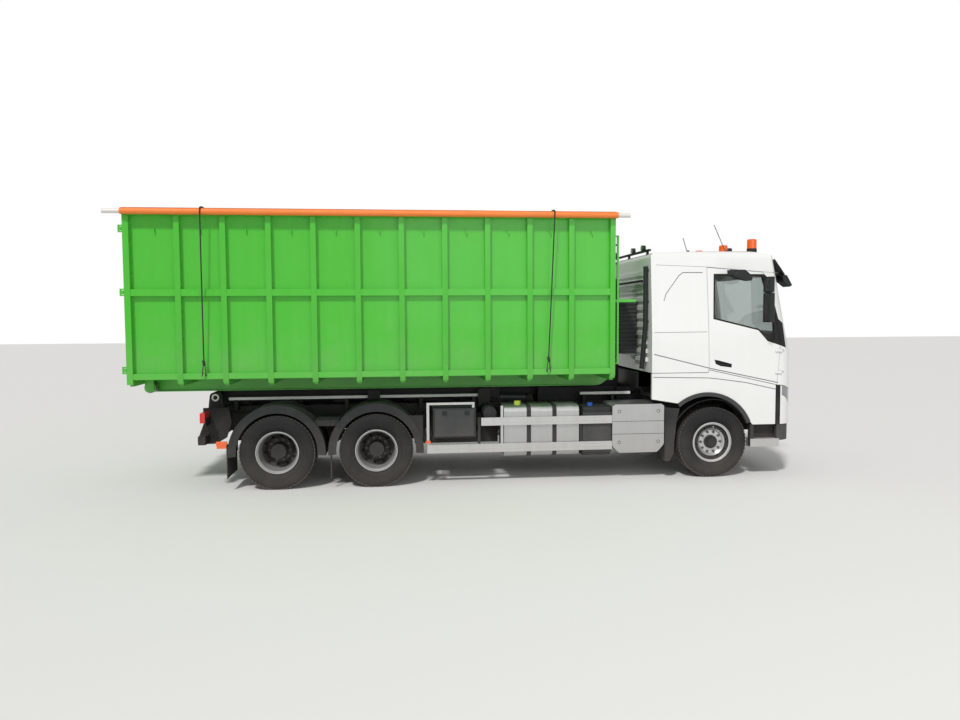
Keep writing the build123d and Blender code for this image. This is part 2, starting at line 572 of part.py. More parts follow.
def cab_parts():
    """The cab's panels: floor, rear wall, sides, roof and front, with the doors cut out of the skin."""
    outer = cab_solid(0)
    shell = outer - cab_solid(CAB_WALL)
    for width, depth, points in CREASES:
        line = pressed_line(points, width, -1300, -1100) - cab_solid(depth)
        shell -= line
        shell -= mirror(line, about=Plane.XZ)
    door_face = outline(DOOR)
    low = block(2600, 4700, -1185, 1185, 1300, 1750)
    shell_door = (shell & side_slab(door_face, -1300, -1100)) - low
    window = side_slab(outline(DOOR_WINDOW), -1300, 1300)
    gap_face = offset(door_face, amount=PANEL_GAP, kind=Kind.INTERSECTION)
    gap = side_slab(gap_face, -1300, -1100)
    gap -= block(2600, 4700, -FLOOR_HALF_WIDTH, FLOOR_HALF_WIDTH, 1300, 1750)
    frame = shell - gap - mirror(gap, about=Plane.XZ)
    door = shell_door - window - side_slab(outline(HANDLE_RECESS), -1245, -CAB_HALF_WIDTH + 24)
    door += block(3600, 3860, -CAB_HALF_WIDTH, -CAB_HALF_WIDTH + 10, 1664, 1682)
    for z in HINGE_HEIGHTS:
        front_knuckle = Pos(DOOR_HINGE_X, DOOR_HINGE_Y, z + 34) * Cylinder(9, 26)
        front_knuckle += block(DOOR_HINGE_X, DOOR_HINGE_X + 40, DOOR_HINGE_Y - 5, DOOR_HINGE_Y + 31,
                               z + 21, z + 47)
        frame += front_knuckle + mirror(front_knuckle, about=Plane.XZ)
        door += Pos(DOOR_HINGE_X, DOOR_HINGE_Y, z) * Cylinder(9, 36)
        door += block(DOOR_HINGE_X - 90, DOOR_HINGE_X, DOOR_HINGE_Y - 5, DOOR_HINGE_Y + 5, z - 18, z + 18)
        door += block(DOOR_HINGE_X - 90, DOOR_HINGE_X - 62, DOOR_HINGE_Y, DOOR_HINGE_Y + 20, z - 18, z + 18)
    roof_zone = side_slab(outline(ROOF_SEAM), -1300, 1300)
    roof = frame & roof_zone
    rest = frame - roof_zone
    floor_zone = block(2695, TILT_AXIS_X, -FLOOR_HALF_WIDTH, FLOOR_HALF_WIDTH, 1300, 1750)
    floor = rest & floor_zone
    rest = rest - floor_zone
    rear = rest & block(2500, 2695, -1300, 1300, 1000, 3400)
    rest = rest - block(2500, 2695, -1300, 1300, 1000, 3400)
    sides = rest & block(2695, 3507, -1300, 1300, 1000, 3400)
    front = rest - block(2695, 3507, -1300, 1300, 1000, 3400)
    glass_zone = front_slab(outline(WINDSCREEN), 4300, 5000)
    front = front - glass_zone - front_slab(outline(GRILLE), 4700, 5000)
    glass_face = offset(outline(WINDSCREEN), amount=-2, kind=Kind.INTERSECTION)
    skin = cab_solid(12) - cab_solid(18)
    windscreen = skin & front_slab(glass_face, 4300, 5000)
    pane_face = offset(outline(DOOR_WINDOW), amount=-2, kind=Kind.INTERSECTION)
    pane = skin & side_slab(pane_face, -1300, -1100)
    for z in range(1720, 3120, 128):
        rear += block(CAB_REAR_X - 14, CAB_REAR_X + 20, -1020, 1020, z, z + 62)
    return floor + tilt_arms(), rear, sides, roof, front, windscreen, door, pane


def headlamp_zone():
    """Front view of both headlamps, which run back round the corners."""
    right = outline([(-730, 1130), (-1300, 1420), (-1300, 1215), (-1236, 1215), (-1120, 1030), (-800, 1010)])
    zone = front_slab(right, 4630, 5000)
    return zone + mirror(zone, about=Plane.XZ)


def bumper_shell(thickness):
    """The bumper's skin: its top follows an arc about the tilt axis."""
    r = BUMPER_SPLIT_RADIUS
    nose = CAB_FRONT_X - 4
    start = (4541, TILT_AXIS_Z + sqrt(r ** 2 - 19 ** 2))
    end = (nose, TILT_AXIS_Z + sqrt(r ** 2 - (nose - TILT_AXIS_X) ** 2))
    a = atan2(end[1] - TILT_AXIS_Z, end[0] - TILT_AXIS_X)
    b = atan2(start[1] - TILT_AXIS_Z, start[0] - TILT_AXIS_X)
    middle = (TILT_AXIS_X + r * cos((a + b) / 2), TILT_AXIS_Z + r * sin((a + b) / 2))
    side = make_face([
        ThreePointArc(start, middle, end),
        Polyline(end, (nose, 783), (4541, 783), start),
    ])
    half = CAB_HALF_WIDTH
    outer = side_slab(side, -1300, 1300) & plan_slab(
        plan_face(half, CORNER_FRONT_X, CAB_FRONT_X, CORNER_RADIUS, 0), 500, 1500)
    t = thickness
    inner = plan_slab(plan_face(half - t, CORNER_FRONT_X - t, CAB_FRONT_X - t, CORNER_RADIUS - t, 0),
                      500, 1500)
    return outer - inner


def bumper():
    """Painted bumper with openings for the headlamps and slots for cooling air."""
    skin = bumper_shell(50) - headlamp_zone()
    for z in (835, 905, 975):
        skin -= block(4800, 4950, -560, 560, z, z + 42)
    return skin


def front_steps():
    """Grey lower bumper on a cross beam from the frame, with the boarding steps at its ends."""
    half = CAB_HALF_WIDTH
    outer = plan_slab(plan_face(half - 10, CORNER_FRONT_X - 15, CAB_FRONT_X - 15, CORNER_RADIUS - 10, 0),
                      540, 783)
    inner = plan_slab(plan_face(half - 80, CORNER_FRONT_X - 80, CAB_FRONT_X - 80, CORNER_RADIUS - 60, 0),
                      540, 783)
    bar = (outer - inner) & block(4560, 5000, -1300, 1300, 500, 800)
    bar += block(4640, 4700, -1180, 1180, 600, 700)
    for s in (-1, 1):
        bar += block(4155, 4600, s * 1165 - 70, s * 1165 + 70, 447, 566)
        bar += block(RAIL_FRONT_X - 30, 4640, s * 380 - 20, s * 380 + 20, 610, 690)
        bar += block(RAIL_FRONT_X - 30, RAIL_FRONT_X, s * 380 - 20, s * 380 + 20, 690, RAIL_BOTTOM)
    return bar


def front_fenders():
    """Panels under the doors with the wheel arches cut out, on brackets from the frame."""
    face = make_face([
        Polyline((3035, 1116), (2642, 1181), (2642, 1559), (3494, 1559), (3506, 1599), (4531, 1368),
                 (4531, 783), (4180, 783), (4142, 836)),
        ThreePointArc((4142, 836), (3550, 1270), (3035, 1116)),
    ])
    panel = side_slab(face, -CAB_HALF_WIDTH, -CAB_HALF_WIDTH + 50)
    panel -= pressed_line(FENDER_CREASE, 12, -CAB_HALF_WIDTH - 5, -CAB_HALF_WIDTH + 4)
    panel += block(2700, 2740, -CAB_HALF_WIDTH + 50, -RAIL_OUTER_Y, 1190, 1230)
    panel += block(2700, 2740, -RAIL_OUTER_Y - 20, -RAIL_OUTER_Y, 900, 1230)
    panel += block(4400, 4440, -CAB_HALF_WIDTH + 50, -RAIL_OUTER_Y, 850, 890)
    return both(panel)


def interior():
    """Dashboard, steering wheel on the left, and the seats' pedestals."""
    dash_face = outline([(4330, 1780), (4330, 2010), (4420, 2130), (4800, 2160), (4800, 1780)],
                        {(4330, 2010): 40, (4420, 2130): 60})
    dash = cab_solid(CAB_WALL + 5) & side_slab(dash_face, -1130, 1130)
    centre = (4200, 620, 2260)
    wheel_plane = Plane(origin=centre, z_dir=(-0.6, 0, 0.8))
    rim = wheel_plane * revolve(Plane.XZ * (Pos(225, 0) * RegularPolygon(17, 6)), axis=Axis.Z)
    hub = wheel_plane * Cylinder(60, 30)
    for angle in (0, 180, 270):
        spoke = wheel_plane * (Rot(0, 0, angle) * Pos(130, 0, 0) * Box(190, 30, 12))
        hub += spoke
    column = bar_between(centre, (4440, 620, 1940), 35)
    dash += rim + hub + column
    floor_z = 1662 - 0.2251 * (3640 - 3512)
    pedestal_face = outline([(3640, floor_z), (3640, 1930), (3980, 1930), (3980, floor_z - 0.2251 * 340)])
    pedestals = [side_slab(pedestal_face, s * 620 - 190, s * 620 + 190) for s in (-1, 1)]
    return group(dash, *pedestals)


def seats():
    """Seat cushions and backs with their head rests."""
    cushion = outline([(3560, 1930), (4070, 1930), (4080, 2060), (3560, 2040)], {(4080, 2060): 40})
    back = outline([(3545, 2045), (3680, 2060), (3560, 2720), (3430, 2700)],
                   {(3560, 2720): 40, (3430, 2700): 40})
    parts = []
    for y in (-620, 620):
        parts.append(side_slab(cushion, y - 250, y + 250))
        parts.append(side_slab(back, y - 240, y + 240))
    return group(*parts)


def cab_trim():
    """Sun visor bowed with the windscreen, the front mirror under its right end, and the grille."""
    bow_x = CAB_FRONT_X - BOW_RADIUS
    section = outline([(4632, 3224), (4672, 3238), (4826, 3010), (4812, 3002), (4668, 3212), (4632, 3208)])
    middle = Plane.XZ * section
    axis = Axis((bow_x, 0, 0), (0, 0, 1))
    visor = revolve(middle, axis=axis, revolution_arc=VISOR_ARC)
    visor = visor.rotate(axis, -VISOR_ARC / 2)
    for y in (-850, -300, 300, 850):
        visor += block(4500, 4650, y - 15, y + 15, 3196, 3214)
    mirror_face = outline([(4722, 3012), (4800, 2996), (4882, 2850), (4852, 2826), (4745, 2905)],
                          {(4722, 3012): 20, (4745, 2905): 25})
    visor += side_slab(mirror_face, -1010, -790)
    visor += bar_between((4560, -930, 3165), (4765, -930, 2960), 12)
    return group(visor - cab_solid(0), grille())


def roof_fittings():
    """Lamp bars behind the roof, the beacons' plinths, a horn, two aerials and the air duct."""
    bar = block(2650, 2690, -1000, 1000, 3352, 3382)
    for y in (-900, 0, 900):
        bar += block(2655, 2685, y - 20, y + 20, 3280, 3352)
    for y in (-700, -205, 700):
        bar += Pos(2670, y, 3415) * Cylinder(46, 56, rotation=(0, 90, 0))
        bar += block(2660, 2680, y - 12, y + 12, 3375, 3400)
    low_bar = block(2560, 2590, -950, 950, 2900, 2930)
    for y in (-850, 0, 850):
        low_bar += block(2560, CAB_REAR_X - 14, y - 15, y + 15, 2905, 2925)
    duct = bar_between((2585, -1080, 3120), (2585, -1080, 2250), 34)
    duct += bar_between((2585, -1080, 2250), (2560, -1000, 1620), 34)
    for z in (3060, 2600, 2300):
        duct += block(2585, 2650, -1092, -1068, z, z + 24)
    pieces = [bar, low_bar, duct]
    for y in (-1000, 0, 1000):
        pieces.append(Pos(4240, y, 3345) * Cylinder(72, 90))
    horn = bar_between((4335, 190, 3470), (4462, 190, 3470), 36)
    pieces.append(horn + block(4380, 4410, 178, 202, 3250, 3470))
    for foot, tip in (((3900, -900, 3300), (3693, -900, 3752)), ((3294, -900, 3300), (3214, -900, 3556))):
        pieces.append(bar_between(foot, tip, 5) + Pos(foot[0], foot[1], 3340) * Cylinder(20, 60))
    return group(*[piece - cab_solid(0) for piece in pieces])


def beacons():
    """Amber rotating beacons across the roof's front."""
    parts = []
    for y in (-1000, 0, 1000):
        lens = Pos(4240, y, 3461) * Cylinder(68, 142)
        parts.append(chamfer(lens.edges().group_by(Axis.Z)[-1], 14))
    return group(*parts)


def mirrors():
    """Right door's main and wide-angle mirrors, in shells open to the rear, on two arms."""
    body = block(4330, 4360, -1420, -1350, 2700, 2740)
    for z0, z1, y0 in ((2296, 2722, -1490), (2732, 2955, -1480)):
        plan = outline([(4290, y0), (4350, y0), (4395, y0 + 60), (4395, -1330), (4340, -1285),
                        (4290, -1285)],
                       {(4350, y0): 20, (4395, y0 + 60): 30, (4395, -1330): 30})
        shell = plan_slab(plan, z0, z1)
        shell -= block(4280, 4302, y0 + 14, -1299, z0 + 14, z1 - 14)
        body += shell
    body += bar_between((4468, -1200, 2480), (4350, -1330, 2480), 11)
    body += bar_between((4381, -1185, 2800), (4350, -1330, 2800), 11)
    return body - cab_solid(0)


def kerb_mirror():
    """Kerb mirror over the right door's window, facing down, on its arm from the door's top frame."""
    face = outline([(3717, 3052), (3918, 3052), (4023, 2966), (4025, 2892), (3869, 2917), (3726, 2978)],
                   {(3918, 3052): 25, (4025, 2892): 20})
    shell = side_slab(face, -1480, -1320)
    return shell + bar_between((3850, -1150, 3022), (3850, -1360, 3000), 13) - cab_solid(0)


# Hook lift

def hooklift_subframe():
    """Ladder on the chassis rails, the rear bearing block with its shaft, and the cylinders' feet."""
    beam = block(REAR_BLOCK_X + 0.3, 2350, 345, 425, RAIL_TOP, SUBFRAME_TOP)
    ladder = beam + mirror(beam, about=Plane.XZ)
    for x in (-3300, -2500, -1700, -900, -100, CYLINDER_FOOT[0], 1600, 2300):
        ladder += block(x - 40, x + 40, -345, 345, RAIL_TOP, 1030)
    rear = block(-3720, REAR_BLOCK_X, -625, 625, RAIL_TOP, 1045)
    ear = outline([(-3790, RAIL_TOP), (REAR_BLOCK_X, RAIL_TOP), (-3590, 1320), (-3750, 1320)],
                  {(-3590, 1320): 60, (-3750, 1320): 60})
    for y in (345, 600):
        plate = side_slab(ear, y, y + 25)
        rear += plate + mirror(plate, about=Plane.XZ)
    rear += cross_rod(TIP_PIVOT_X, TIP_PIVOT_Z, -640, 640, SHAFT_RADIUS)
    for s in (-1, 1):
        rear += block(-3720, REAR_BLOCK_X, s * 385 - 40, s * 385 + 40, RAIL_TOP, SUBFRAME_TOP)
        rear += cross_rod(TIP_PIVOT_X, TIP_PIVOT_Z, s * 440, s * 545, ROLLER_RADIUS)
        rear += cross_rod(TIP_PIVOT_X, TIP_PIVOT_Z, s * 625, s * 652, 54)
        rear -= cross_rod(TIP_PIVOT_X, TIP_PIVOT_Z, s * 636, s * 660, 30)
    foot_x, foot_z = CYLINDER_FOOT
    foot = block(foot_x - 60, foot_x + 60, -305, -115, 1030.3, 1045)
    for y in (-305, -145):
        foot += block(foot_x - 60, foot_x + 60, y, y + 30, 1040, foot_z - 30)
        foot += cross_rod(foot_x, foot_z, y, y + 30, 55)
    foot += cross_rod(foot_x, foot_z, -300, -120, CYLINDER_PIN_RADIUS)
    return group(ladder, rear, both(foot))


def load_rails():
    """Side rails that steady the container, on posts from the ladder, with two locks a side."""
    rails = []
    for x0, x1, posts in ((-3501, 193, (-3400, -2600, -1800, -700, 100)), (1738, 2528, (1800, 2250))):
        rail = block(x0, x1, -560, -520, 1196, 1236)
        for x in posts:
            rail += block(x - 25, x + 25, -560, -425, 1040, 1196)
        rails.append(rail)
    for x in (-1398, 250):
        rails[0] += block(x - 90, x + 90, -610, -560, 1040, 1320)
        rails[0] += block(x - 60, x + 60, -560, -425, 1040, 1080)
    return both(group(*rails))


def tipping_frame():
    """Middle frame that hinges on the rear shaft and guides the hook arm."""
    beam = block(-3640, 520, 285, 340, 1150, 1310)
    boss = cross_rod(TIP_PIVOT_X, TIP_PIVOT_Z, 285, 340, 78)
    side = beam + boss
    frame = side + mirror(side, about=Plane.XZ)
    for x in (-3350, -2600, -1900):
        frame += block(x - 100, x + 100, -340, 340, 1118, 1150)
    for x in (-2900, -900, 0, 440):
        frame += block(x - 70, x + 70, -340, 340, 1310, 1328)
    frame += block(-1260, -1060, -340, 340, 1310, 1328)
    eye_x, eye_z = CYLINDER_EYE
    for y in (140, 255):
        ear = block(eye_x - 60, eye_x + 60, y, y + 30, eye_z, 1315)
        ear += cross_rod(eye_x, eye_z, y, y + 30, 60)
        frame += ear + mirror(ear, about=Plane.XZ)
    frame -= cross_rod(TIP_PIVOT_X, TIP_PIVOT_Z, -400, 400, SHAFT_RADIUS + RUNNING_FIT)
    return frame


def hook_arm():
    """Sliding hook arm: a box beam along the truck, the mast behind the cab and the hook."""
    w = JIB_HALF_WIDTH
    shape = outline([
        (-2600, 1160), (MAST_FRONT_X, 1160), (MAST_FRONT_X + 10, 2800), (MAST_FRONT_X - 30, 2990),
        (MAST_REAR_X + 20, 3010), (MAST_REAR_X, 2960), (MAST_REAR_X, 1500), (MAST_REAR_X - 170, 1300),
        (-2600, 1300)],
        {(MAST_FRONT_X, 1160): 120, (MAST_FRONT_X - 30, 2990): 60, (MAST_REAR_X - 170, 1300): 60})
    arm = side_slab(shape, -w, w)
    hook_face = ring(HOOK_BAR_X, HOOK_BAR_Z, HOOK_BAR_RADIUS + 8, 95, 180, 330, -35, 35)
    tip = side_slab(outline([
        (HOOK_BAR_X - 95, HOOK_BAR_Z), (HOOK_BAR_X - 36, HOOK_BAR_Z), (HOOK_BAR_X - 44, HOOK_BAR_Z + 70),
        (HOOK_BAR_X - 80, HOOK_BAR_Z + 70)]), -35, 35)
    root = side_slab(outline([
        (HOOK_BAR_X + 36, HOOK_BAR_Z - 60), (MAST_REAR_X + 10, HOOK_BAR_Z - 110),
        (MAST_REAR_X + 10, HOOK_BAR_Z + 80), (HOOK_BAR_X + 50, HOOK_BAR_Z + 60)]), -35, 35)
    return arm + hook_face + tip + root


def cylinder_direction():
    foot = Vector(CYLINDER_FOOT[0], 0, CYLINDER_FOOT[1])
    eye = Vector(CYLINDER_EYE[0], 0, CYLINDER_EYE[1])
    return foot, eye, (eye - foot).normalized()


def tip_cylinders():
    """Barrels of the two tipping cylinders, pinned to the subframe."""
    foot, eye, along = cylinder_direction()
    length = (eye - foot).length
    barrels = None
    for y in (-CYLINDER_Y, CYLINDER_Y):
        side = Vector(0, y, 0)
        start = foot + side + along * 40
        barrel = bar_between(start, foot + side + along * (length - 240), CYLINDER_RADIUS)
        barrel += cross_rod(foot.X, foot.Z, y - 55, y + 55, 55)
        barrel -= cross_rod(foot.X, foot.Z, y - 60, y + 60, CYLINDER_PIN_RADIUS + RUNNING_FIT)
        barrel -= bar_between(foot + side + along * 200, eye + side, 40 + RUNNING_FIT)
        barrels = barrel if barrels is None else group(barrels, barrel)
    return barrels


def tip_rods():
    """Rods of the two tipping cylinders, with their eyes and pins."""
    foot, eye, along = cylinder_direction()
    length = (eye - foot).length
    rods = None
    for y in (-CYLINDER_Y, CYLINDER_Y):
        side = Vector(0, y, 0)
        rod = bar_between(foot + side + along * 260, eye + side - along * 30, 40)
        rod += cross_rod(eye.X, eye.Z, y - 35, y + 35, 52)
        rods = rod if rods is None else group(rods, rod)
    return rods


# Container

INNER_Y = 1204.0
LOCK_BAR_Y = -120.0


def rib_places():
    return [FIRST_RIB_X - RIB_PITCH * step for step in range(11)] + [-4630.0]


def container_floor():
    """Floor plate on crossmembers, two runners with raised noses and the rear ground rollers."""
    floor = block(BOX_REAR_X + 72, BOX_FRONT_X - 70, -INNER_Y, INNER_Y, 1560, 1576)
    for x in rib_places():
        floor += block(x - 25, x + 25, -INNER_Y, INNER_Y, 1475, 1560)
    web = outline([(BOX_REAR_X + 10, RUNNER_BOTTOM), (2060, RUNNER_BOTTOM), (2250, 1470), (2250, 1560),
                   (BOX_REAR_X + 10, 1560)], {(2060, RUNNER_BOTTOM): 160})
    for s in (-1, 1):
        floor += side_slab(web, s * 489 - 5, s * 489 + 5)
        floor += block(BOX_REAR_X + 10, 1985, s * 489 - 41, s * 489 + 41, RUNNER_BOTTOM, RUNNER_BOTTOM + 14)
        floor += cross_rod(-4550, 1415, s * 560, s * 720, 80)
        floor += cross_rod(-4550, 1415, s * 535, s * 745, 25)
        floor += block(-4610, -4490, s * 535 - 12, s * 535 + 12, 1370, 1560)
        floor += block(-4610, -4490, s * 745 - 12, s * 745 + 12, 1370, 1560)
    return floor


def container_sides():
    """Side walls: sheet with upright ribs, a middle rib, a sill and the top rail."""
    face_y = -CONTAINER_HALF_WIDTH
    panel_y = face_y + RIB_DEPTH
    wall = block(BOX_REAR_X + 10, BOX_FRONT_X, panel_y, panel_y + 6, 1560, RAIL_CAP_TOP - 8)
    wall += block(BOX_REAR_X, BOX_FRONT_X, face_y + 5, panel_y, SILL_BOTTOM, 1650)
    wall += block(BOX_REAR_X, BOX_FRONT_X, face_y + 5, panel_y + 6, BOX_TOP, RAIL_CAP_TOP - 8)
    wall += block(BOX_REAR_X, BOX_FRONT_X, face_y + 5, panel_y, 2700, 2792)
    rib = outline([(face_y, BOX_TOP), (face_y, 1560), (face_y + 30, 1503), (panel_y, 1503),
                   (panel_y, BOX_TOP)])
    for x in rib_places():
        wall += front_slab(rib, x - RIB_WIDTH / 2, x + RIB_WIDTH / 2)
    for x in rib_places()[:-1]:
        hook_x = x - RIB_PITCH / 2
        wall += block(hook_x - 8, hook_x + 8, panel_y - 34, panel_y + 2, 3596, 3610)
        wall += block(hook_x - 8, hook_x + 8, panel_y - 34, panel_y - 24, 3560, 3610)
    post = block(BOX_REAR_X, -4592, face_y, -INNER_Y, 1503, BOX_TOP)
    for z in LEAF_HINGE_HEIGHTS:
        for dz in (-50, 32):
            post += block(LEAF_HINGE_X, BOX_REAR_X + 5, -LEAF_HINGE_Y - 12, -LEAF_HINGE_Y + 12,
                          z + dz, z + dz + 18)
            post += Pos(LEAF_HINGE_X, -LEAF_HINGE_Y, z + dz + 9) * Cylinder(14, 18)
        post += Pos(LEAF_HINGE_X, -LEAF_HINGE_Y, z) * Cylinder(8, 90)
    for x in [end for _, end in ROPE_PLACES]:
        wall += block(x - 12, x + 12, face_y - 27, face_y + 10, TRIANGLE_BAR_TOP, TRIANGLE_BAR_TOP + 14)
        wall += block(x - 12, x + 12, face_y - 27, face_y - 15, 1598, TRIANGLE_BAR_TOP + 14)
    return both(wall + post)


def container_front():
    """Front wall with the hook bar, its frame and the platform for reaching the cover."""
    wall = block(BOX_FRONT_X - 70, BOX_FRONT_X - 64, -INNER_Y, INNER_Y, 1576, BOX_TOP)
    wall += block(BOX_FRONT_X - 70, BOX_FRONT_X, -INNER_Y, INNER_Y, BOX_TOP - 30, RAIL_CAP_TOP - 8)
    for s in (-1, 1):
        wall += block(BOX_FRONT_X - 64, 2180, s * 200 - 35, s * 200 + 35, 1576, 2960)
        wall += block(2180, 2270, s * 200 - 20, s * 200 + 20, 2700, 2960)
    wall += cross_rod(HOOK_BAR_X, HOOK_BAR_Z, -185, 185, HOOK_BAR_RADIUS)
    for z in (1576, 2080, 2590, 3180):
        wall += block(BOX_FRONT_X - 64, BOX_FRONT_X - 4, -INNER_Y, INNER_Y, z, z + 60)
    for y in (-1150, -640):
        wall += block(BOX_FRONT_X - 4, 2420, y, y + 40, 2600, 2640)
    for step in range(6):
        x = BOX_FRONT_X + 30 + 54 * step
        wall += block(x, x + 36, -1110, -640, 2604, 2636)
    for z in (1750, 2020, 2290, 2890, 3160, 3430):
        wall += bar_between((BOX_FRONT_X + 70, -1130, z), (BOX_FRONT_X + 70, -820, z), 14)
    for y in (-1150, -830):
        wall += block(BOX_FRONT_X - 64, BOX_FRONT_X + 84, y, y + 30, 1700, 1720)
        wall += block(BOX_FRONT_X + 56, BOX_FRONT_X + 84, y, y + 30, 1700, 3560)
        wall += block(BOX_FRONT_X - 64, BOX_FRONT_X + 84, y, y + 30, 3540, 3560)
    return wall


def container_door():
    """Right leaf of the rear door: framed sheet, strap hinges and a locking bar in its recess."""
    y0, y1 = -1190.0, -4.0
    x0, x1 = BOX_REAR_X, BOX_REAR_X + 70
    bottom, top = 1582.0, 3772.0
    leaf = block(x1 - 8, x1, y0, y1, bottom, top)
    leaf += block(x0, x1 - 8, y0, y0 + 70, bottom, top)
    for y in (-630, y1 - 70):
        leaf += block(x0 + 34, x1 - 8, y, y + 70, bottom, top)
    for z in (bottom, 2100, 2650, 3180, top - 70):
        leaf += block(x0 + 34, x1 - 8, y0 + 70, y1, z, z + 70)
        leaf += block(x0 + 4, x0 + 34, LOCK_BAR_Y - 26, LOCK_BAR_Y + 26, z + 10, z + 60)
    leaf += bar_between((x0 + 17, LOCK_BAR_Y, bottom + 10), (x0 + 17, LOCK_BAR_Y, top - 10), 13)
    for z in LEAF_HINGE_HEIGHTS:
        leaf += block(x0 - 16, x0, -LEAF_HINGE_Y, y0 + 60, z - 26, z + 26)
        leaf += block(LEAF_HINGE_X, x0 - 4, -LEAF_HINGE_Y - 10, -LEAF_HINGE_Y + 10, z - 26, z + 26)
        leaf += Pos(LEAF_HINGE_X, -LEAF_HINGE_Y, z) * Cylinder(14, 52)
        leaf -= Pos(LEAF_HINGE_X, -LEAF_HINGE_Y, z) * Cylinder(8 + RUNNING_FIT, 60)
    return leaf


def tarp():
    """Cover sheet over the top: fixed on the left rail, arched across and led onto its tube."""
    top = RAIL_CAP_TOP - 8
    edge = TUBE_Z + TUBE_RADIUS
    upper = [(-1268, edge + 6), (0, top + 66), (1268, top + 6)]
    lower = [(-1268, edge + 1), (0, top + 60), (1268, top + 1)]
    face = make_face([
        ThreePointArc(*upper),
        Line(upper[2], lower[2]),
        ThreePointArc(*reversed(lower)),
        Line(lower[0], (TUBE_Y, edge + 1)),
        Line((TUBE_Y, edge + 1), (TUBE_Y, edge + 6)),
        Line((TUBE_Y, edge + 6), upper[0]),
    ])
    return front_slab(face, BOX_REAR_X + 5, BOX_FRONT_X - 5)


def tarp_tube():
    """White tube with the end of the cover wound on it, along the right top rail."""
    tube = bar_between((-HALF_LENGTH, TUBE_Y, TUBE_Z), (2268, TUBE_Y, TUBE_Z), 32)
    roll = bar_between((BOX_REAR_X, TUBE_Y, TUBE_Z), (2093, TUBE_Y, TUBE_Z), TUBE_RADIUS)
    return tube + roll


def rope(top_x, end_x):
    """Tight rope from the cover's edge round the tube and straight down to its hook."""
    wrap = TUBE_RADIUS + 18
    bend = wrap * (sqrt(2) - 1)
    points = [
        (top_x, ROPE_START_Y, TUBE_Z + wrap),
        (top_x, TUBE_Y - bend, TUBE_Z + wrap),
        (top_x, TUBE_Y - wrap, TUBE_Z + bend),
        (end_x, ROPE_END_Y, ROPE_END_Z - 1),
    ]
    radii = []
    for a, b, c in zip(points, points[1:], points[2:]):
        into = Vector(*b) - Vector(*a)
        out = Vector(*c) - Vector(*b)
        turn = radians(into.get_angle(out))
        radii.append(0.45 * min(into.length, out.length) / tan(turn / 2))
    path = FilletPolyline(*points, radius=radii)
    print("rope radii", [round(r, 1) for r in radii], "length", round(path.length, 1))
    start = Plane(origin=points[0], z_dir=Vector(*points[1]) - Vector(*points[0]))
    cord = sweep(start * Circle(ROPE_RADIUS), path=path)
    return cord - block(end_x - 50, end_x + 50, -1400, -1200, ROPE_END_Z - 30, ROPE_END_Z)


def rope_hooks():
    """Steel triangles that join each rope's end to its hook on the sill, and the loops on the cover."""
    parts = []
    for top_x, x in ROPE_PLACES:
        y = ROPE_END_Y
        face = outline([(x - 32, 1612), (x + 32, 1612), (x + 12, ROPE_END_Z), (x - 12, ROPE_END_Z)])
        hole = outline([(x - 18, TRIANGLE_BAR_TOP), (x + 18, TRIANGLE_BAR_TOP),
                        (x + 5, ROPE_END_Z - 40), (x - 5, ROPE_END_Z - 40)])
        parts.append(side_slab(face, y - 5, y + 5) - side_slab(hole, y - 10, y + 10))
        parts.append(block(top_x - 18, top_x + 18, ROPE_START_Y, ROPE_START_Y + 40, 3882.5, 3897))
    return group(*parts)


def write(node, shape):
    """One file for each node."""
    export_step(shape, f"parts/{node}.step")


floor, rear, sides, roof, front, windscreen, door, pane = cab_parts()
nodes = {
    "frame_rails": frame_rails(),
    "front_axle": front_axle(),
    "rear_axles": rear_axles(),
    "engine_block": engine_block(),
    "fuel_tanks": fuel_tanks(),
    "chassis_boxes": chassis_boxes(),
    "side_guards": side_guards(),
    "mudguards": mudguards(),
    "lamps": lamps(),
    "bumper": bumper(),
    "front_steps": group(front_steps(), arch_lips()),
    "front_fenders": front_fenders(),
    "hooklift_subframe": hooklift_subframe(),
    "load_rails": load_rails(),
    "cab_floor": floor,
    "cab_rear_wall": rear,
    "cab_sides": sides,
    "cab_roof": roof,
    "cab_front": front,
    "windscreen": windscreen,
    "cab_trim": cab_trim(),
    "cab_interior": interior(),
    "seats": seats(),
    "roof_fittings": roof_fittings(),
    "beacons": beacons(),
    "door_right": door,
    "door_right_glass": pane,
    "mirrors_right": group(mirrors(), kerb_mirror()),
    "door_left": left(door),
    "door_left_glass": left(pane),
    "mirrors_left": left(mirrors()),
    "knuckle_right": knuckle(),
    "knuckle_left": left(knuckle()),
    "tipping_frame": tipping_frame(),
    "hook_arm": hook_arm(),
    "tip_cylinders": tip_cylinders(),
    "tip_rods": tip_rods(),
    "container_floor": container_floor(),
    "container_sides": container_sides(),
    "container_front": container_front(),
    "container_door_right": container_door(),
    "container_door_left": left(container_door()),
    "tarp": tarp(),
    "tarp_tube": tarp_tube(),
    "rope_hooks": rope_hooks(),
}
for name, (top_x, end_x) in zip(("rope_rear", "rope_front"), ROPE_PLACES):
    nodes[name] = rope(top_x, end_x)
wheel_parts = {
    "front": (tyre(FRONT_AXLE_X, -FRONT_WHEEL_Y), front_rim(FRONT_AXLE_X, -FRONT_WHEEL_Y)),
    "drive": rear_wheel(DRIVE_AXLE_X),
    "tag": rear_wheel(TAG_AXLE_X),
}
for place, (rubber, steel) in wheel_parts.items():
    nodes[f"tyre_{place}_right"] = rubber
    nodes[f"rim_{place}_right"] = steel
    nodes[f"tyre_{place}_left"] = left(rubber)
    nodes[f"rim_{place}_left"] = left(steel)

for name, shape in nodes.items():
    write(name, shape)
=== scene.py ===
import bmesh
import bpy
import json
from math import cos, hypot, pi, radians, sin
from mathutils import Matrix, Vector, noise

